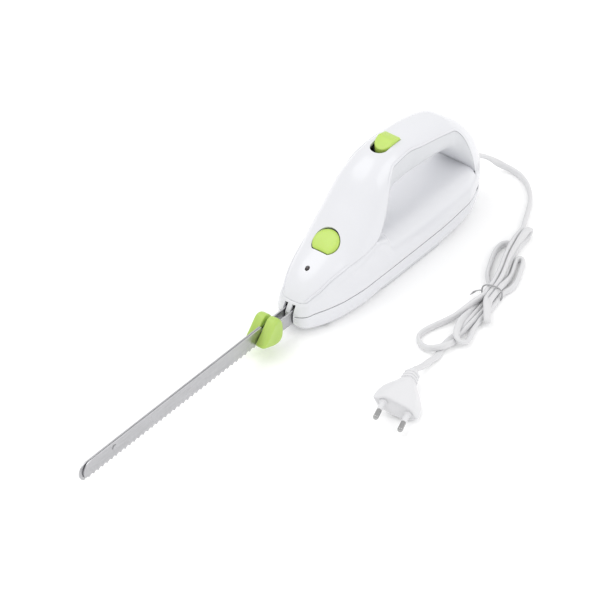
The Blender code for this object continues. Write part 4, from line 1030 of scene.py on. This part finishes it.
def make_floor():
    bm = bmesh.new()
    bmesh.ops.create_circle(bm, cap_ends=True, segments=96, radius=4.0)
    mesh = bpy.data.meshes.new("floor")
    bm.to_mesh(mesh)
    bm.free()
    look = Look("studio floor")
    look.set("Base Color", look.ramp(look.noise(3, 2), (0.2, (0.955, 0.955, 0.955)),
                                     (0.8, (0.965, 0.965, 0.965))))
    look.set("Roughness", 0.9)
    look.set("Specular IOR Level", 0.1)
    look.set("Emission Color", (1, 1, 1, 1))
    look.set("Emission Strength", FLOOR_GLOW)
    mesh.materials.append(look.material)
    floor = bpy.data.objects.new("floor", mesh)
    floor.location.z = FLOOR_Z
    bpy.context.scene.collection.objects.link(floor)


def direction(azimuth, elevation):
    """The unit vector towards a viewpoint, from angles in degrees: azimuth 0 is the -Y side."""
    a, e = math.radians(azimuth), math.radians(elevation)
    return Vector((math.sin(a) * math.cos(e), -math.cos(a) * math.cos(e), math.sin(e)))


def area_light(name, azimuth, elevation, distance, size, power):
    light = bpy.data.lights.new(name, "AREA")
    light.shape = "DISK"
    light.size = size
    light.energy = power
    made = bpy.data.objects.new(name, light)
    back = direction(azimuth, elevation)
    made.location = Vector(AIM) + back * distance
    made.rotation_euler = back.to_track_quat("Z", "Y").to_euler()
    bpy.context.scene.collection.objects.link(made)


def make_studio():
    make_floor()
    area_light("key", azimuth=-150, elevation=62, distance=1.6, size=1.3, power=6)
    area_light("fill", azimuth=20, elevation=40, distance=1.8, size=1.2, power=5)
    world = bpy.data.worlds.new("studio")
    world.use_nodes = True
    world.node_tree.nodes["Background"].inputs["Color"].default_value = (1, 1, 1, 1)
    world.node_tree.nodes["Background"].inputs["Strength"].default_value = WORLD_STRENGTH
    bpy.context.scene.world = world
    bpy.context.scene.view_settings.view_transform = "Standard"


def make_camera():
    data = bpy.data.cameras.new("camera")
    data.sensor_width = SENSOR
    data.lens = SENSOR * VIEW_DISTANCE / VIEW_WIDTH
    data.clip_end = 4 * VIEW_DISTANCE
    camera = bpy.data.objects.new("camera", data)
    back = direction(VIEW_AZIMUTH, VIEW_ELEVATION)
    camera.location = Vector(AIM) + back * VIEW_DISTANCE
    camera.rotation_mode = "QUATERNION"
    camera.rotation_quaternion = (-back).to_track_quat("-Z", "Y")
    bpy.context.scene.collection.objects.link(camera)
    bpy.context.scene.camera = camera


make_camera()
make_studio()
dress_cad_nodes()
make_top_cover()
make_liner()
make_pod()
make_base()
make_foot_pad()
make_blade("near_blade", -1, BLADE_FRONT + NEAR_SETBACK, "blade_right")
make_blade("far_blade", 1, BLADE_FRONT, "blade_left")
make_rivet()
make_guard("near_guard", -1, "guard_right")
make_guard("far_guard", 1, "guard_left")
make_button()
make_switch()
make_lens_and_bush()
make_base_screws()
make_tie_ring()
make_tie_end()
plug_pieces = make_plug()
lead, lead_path, lead_length = make_lead()

bpy.context.view_layer.update()
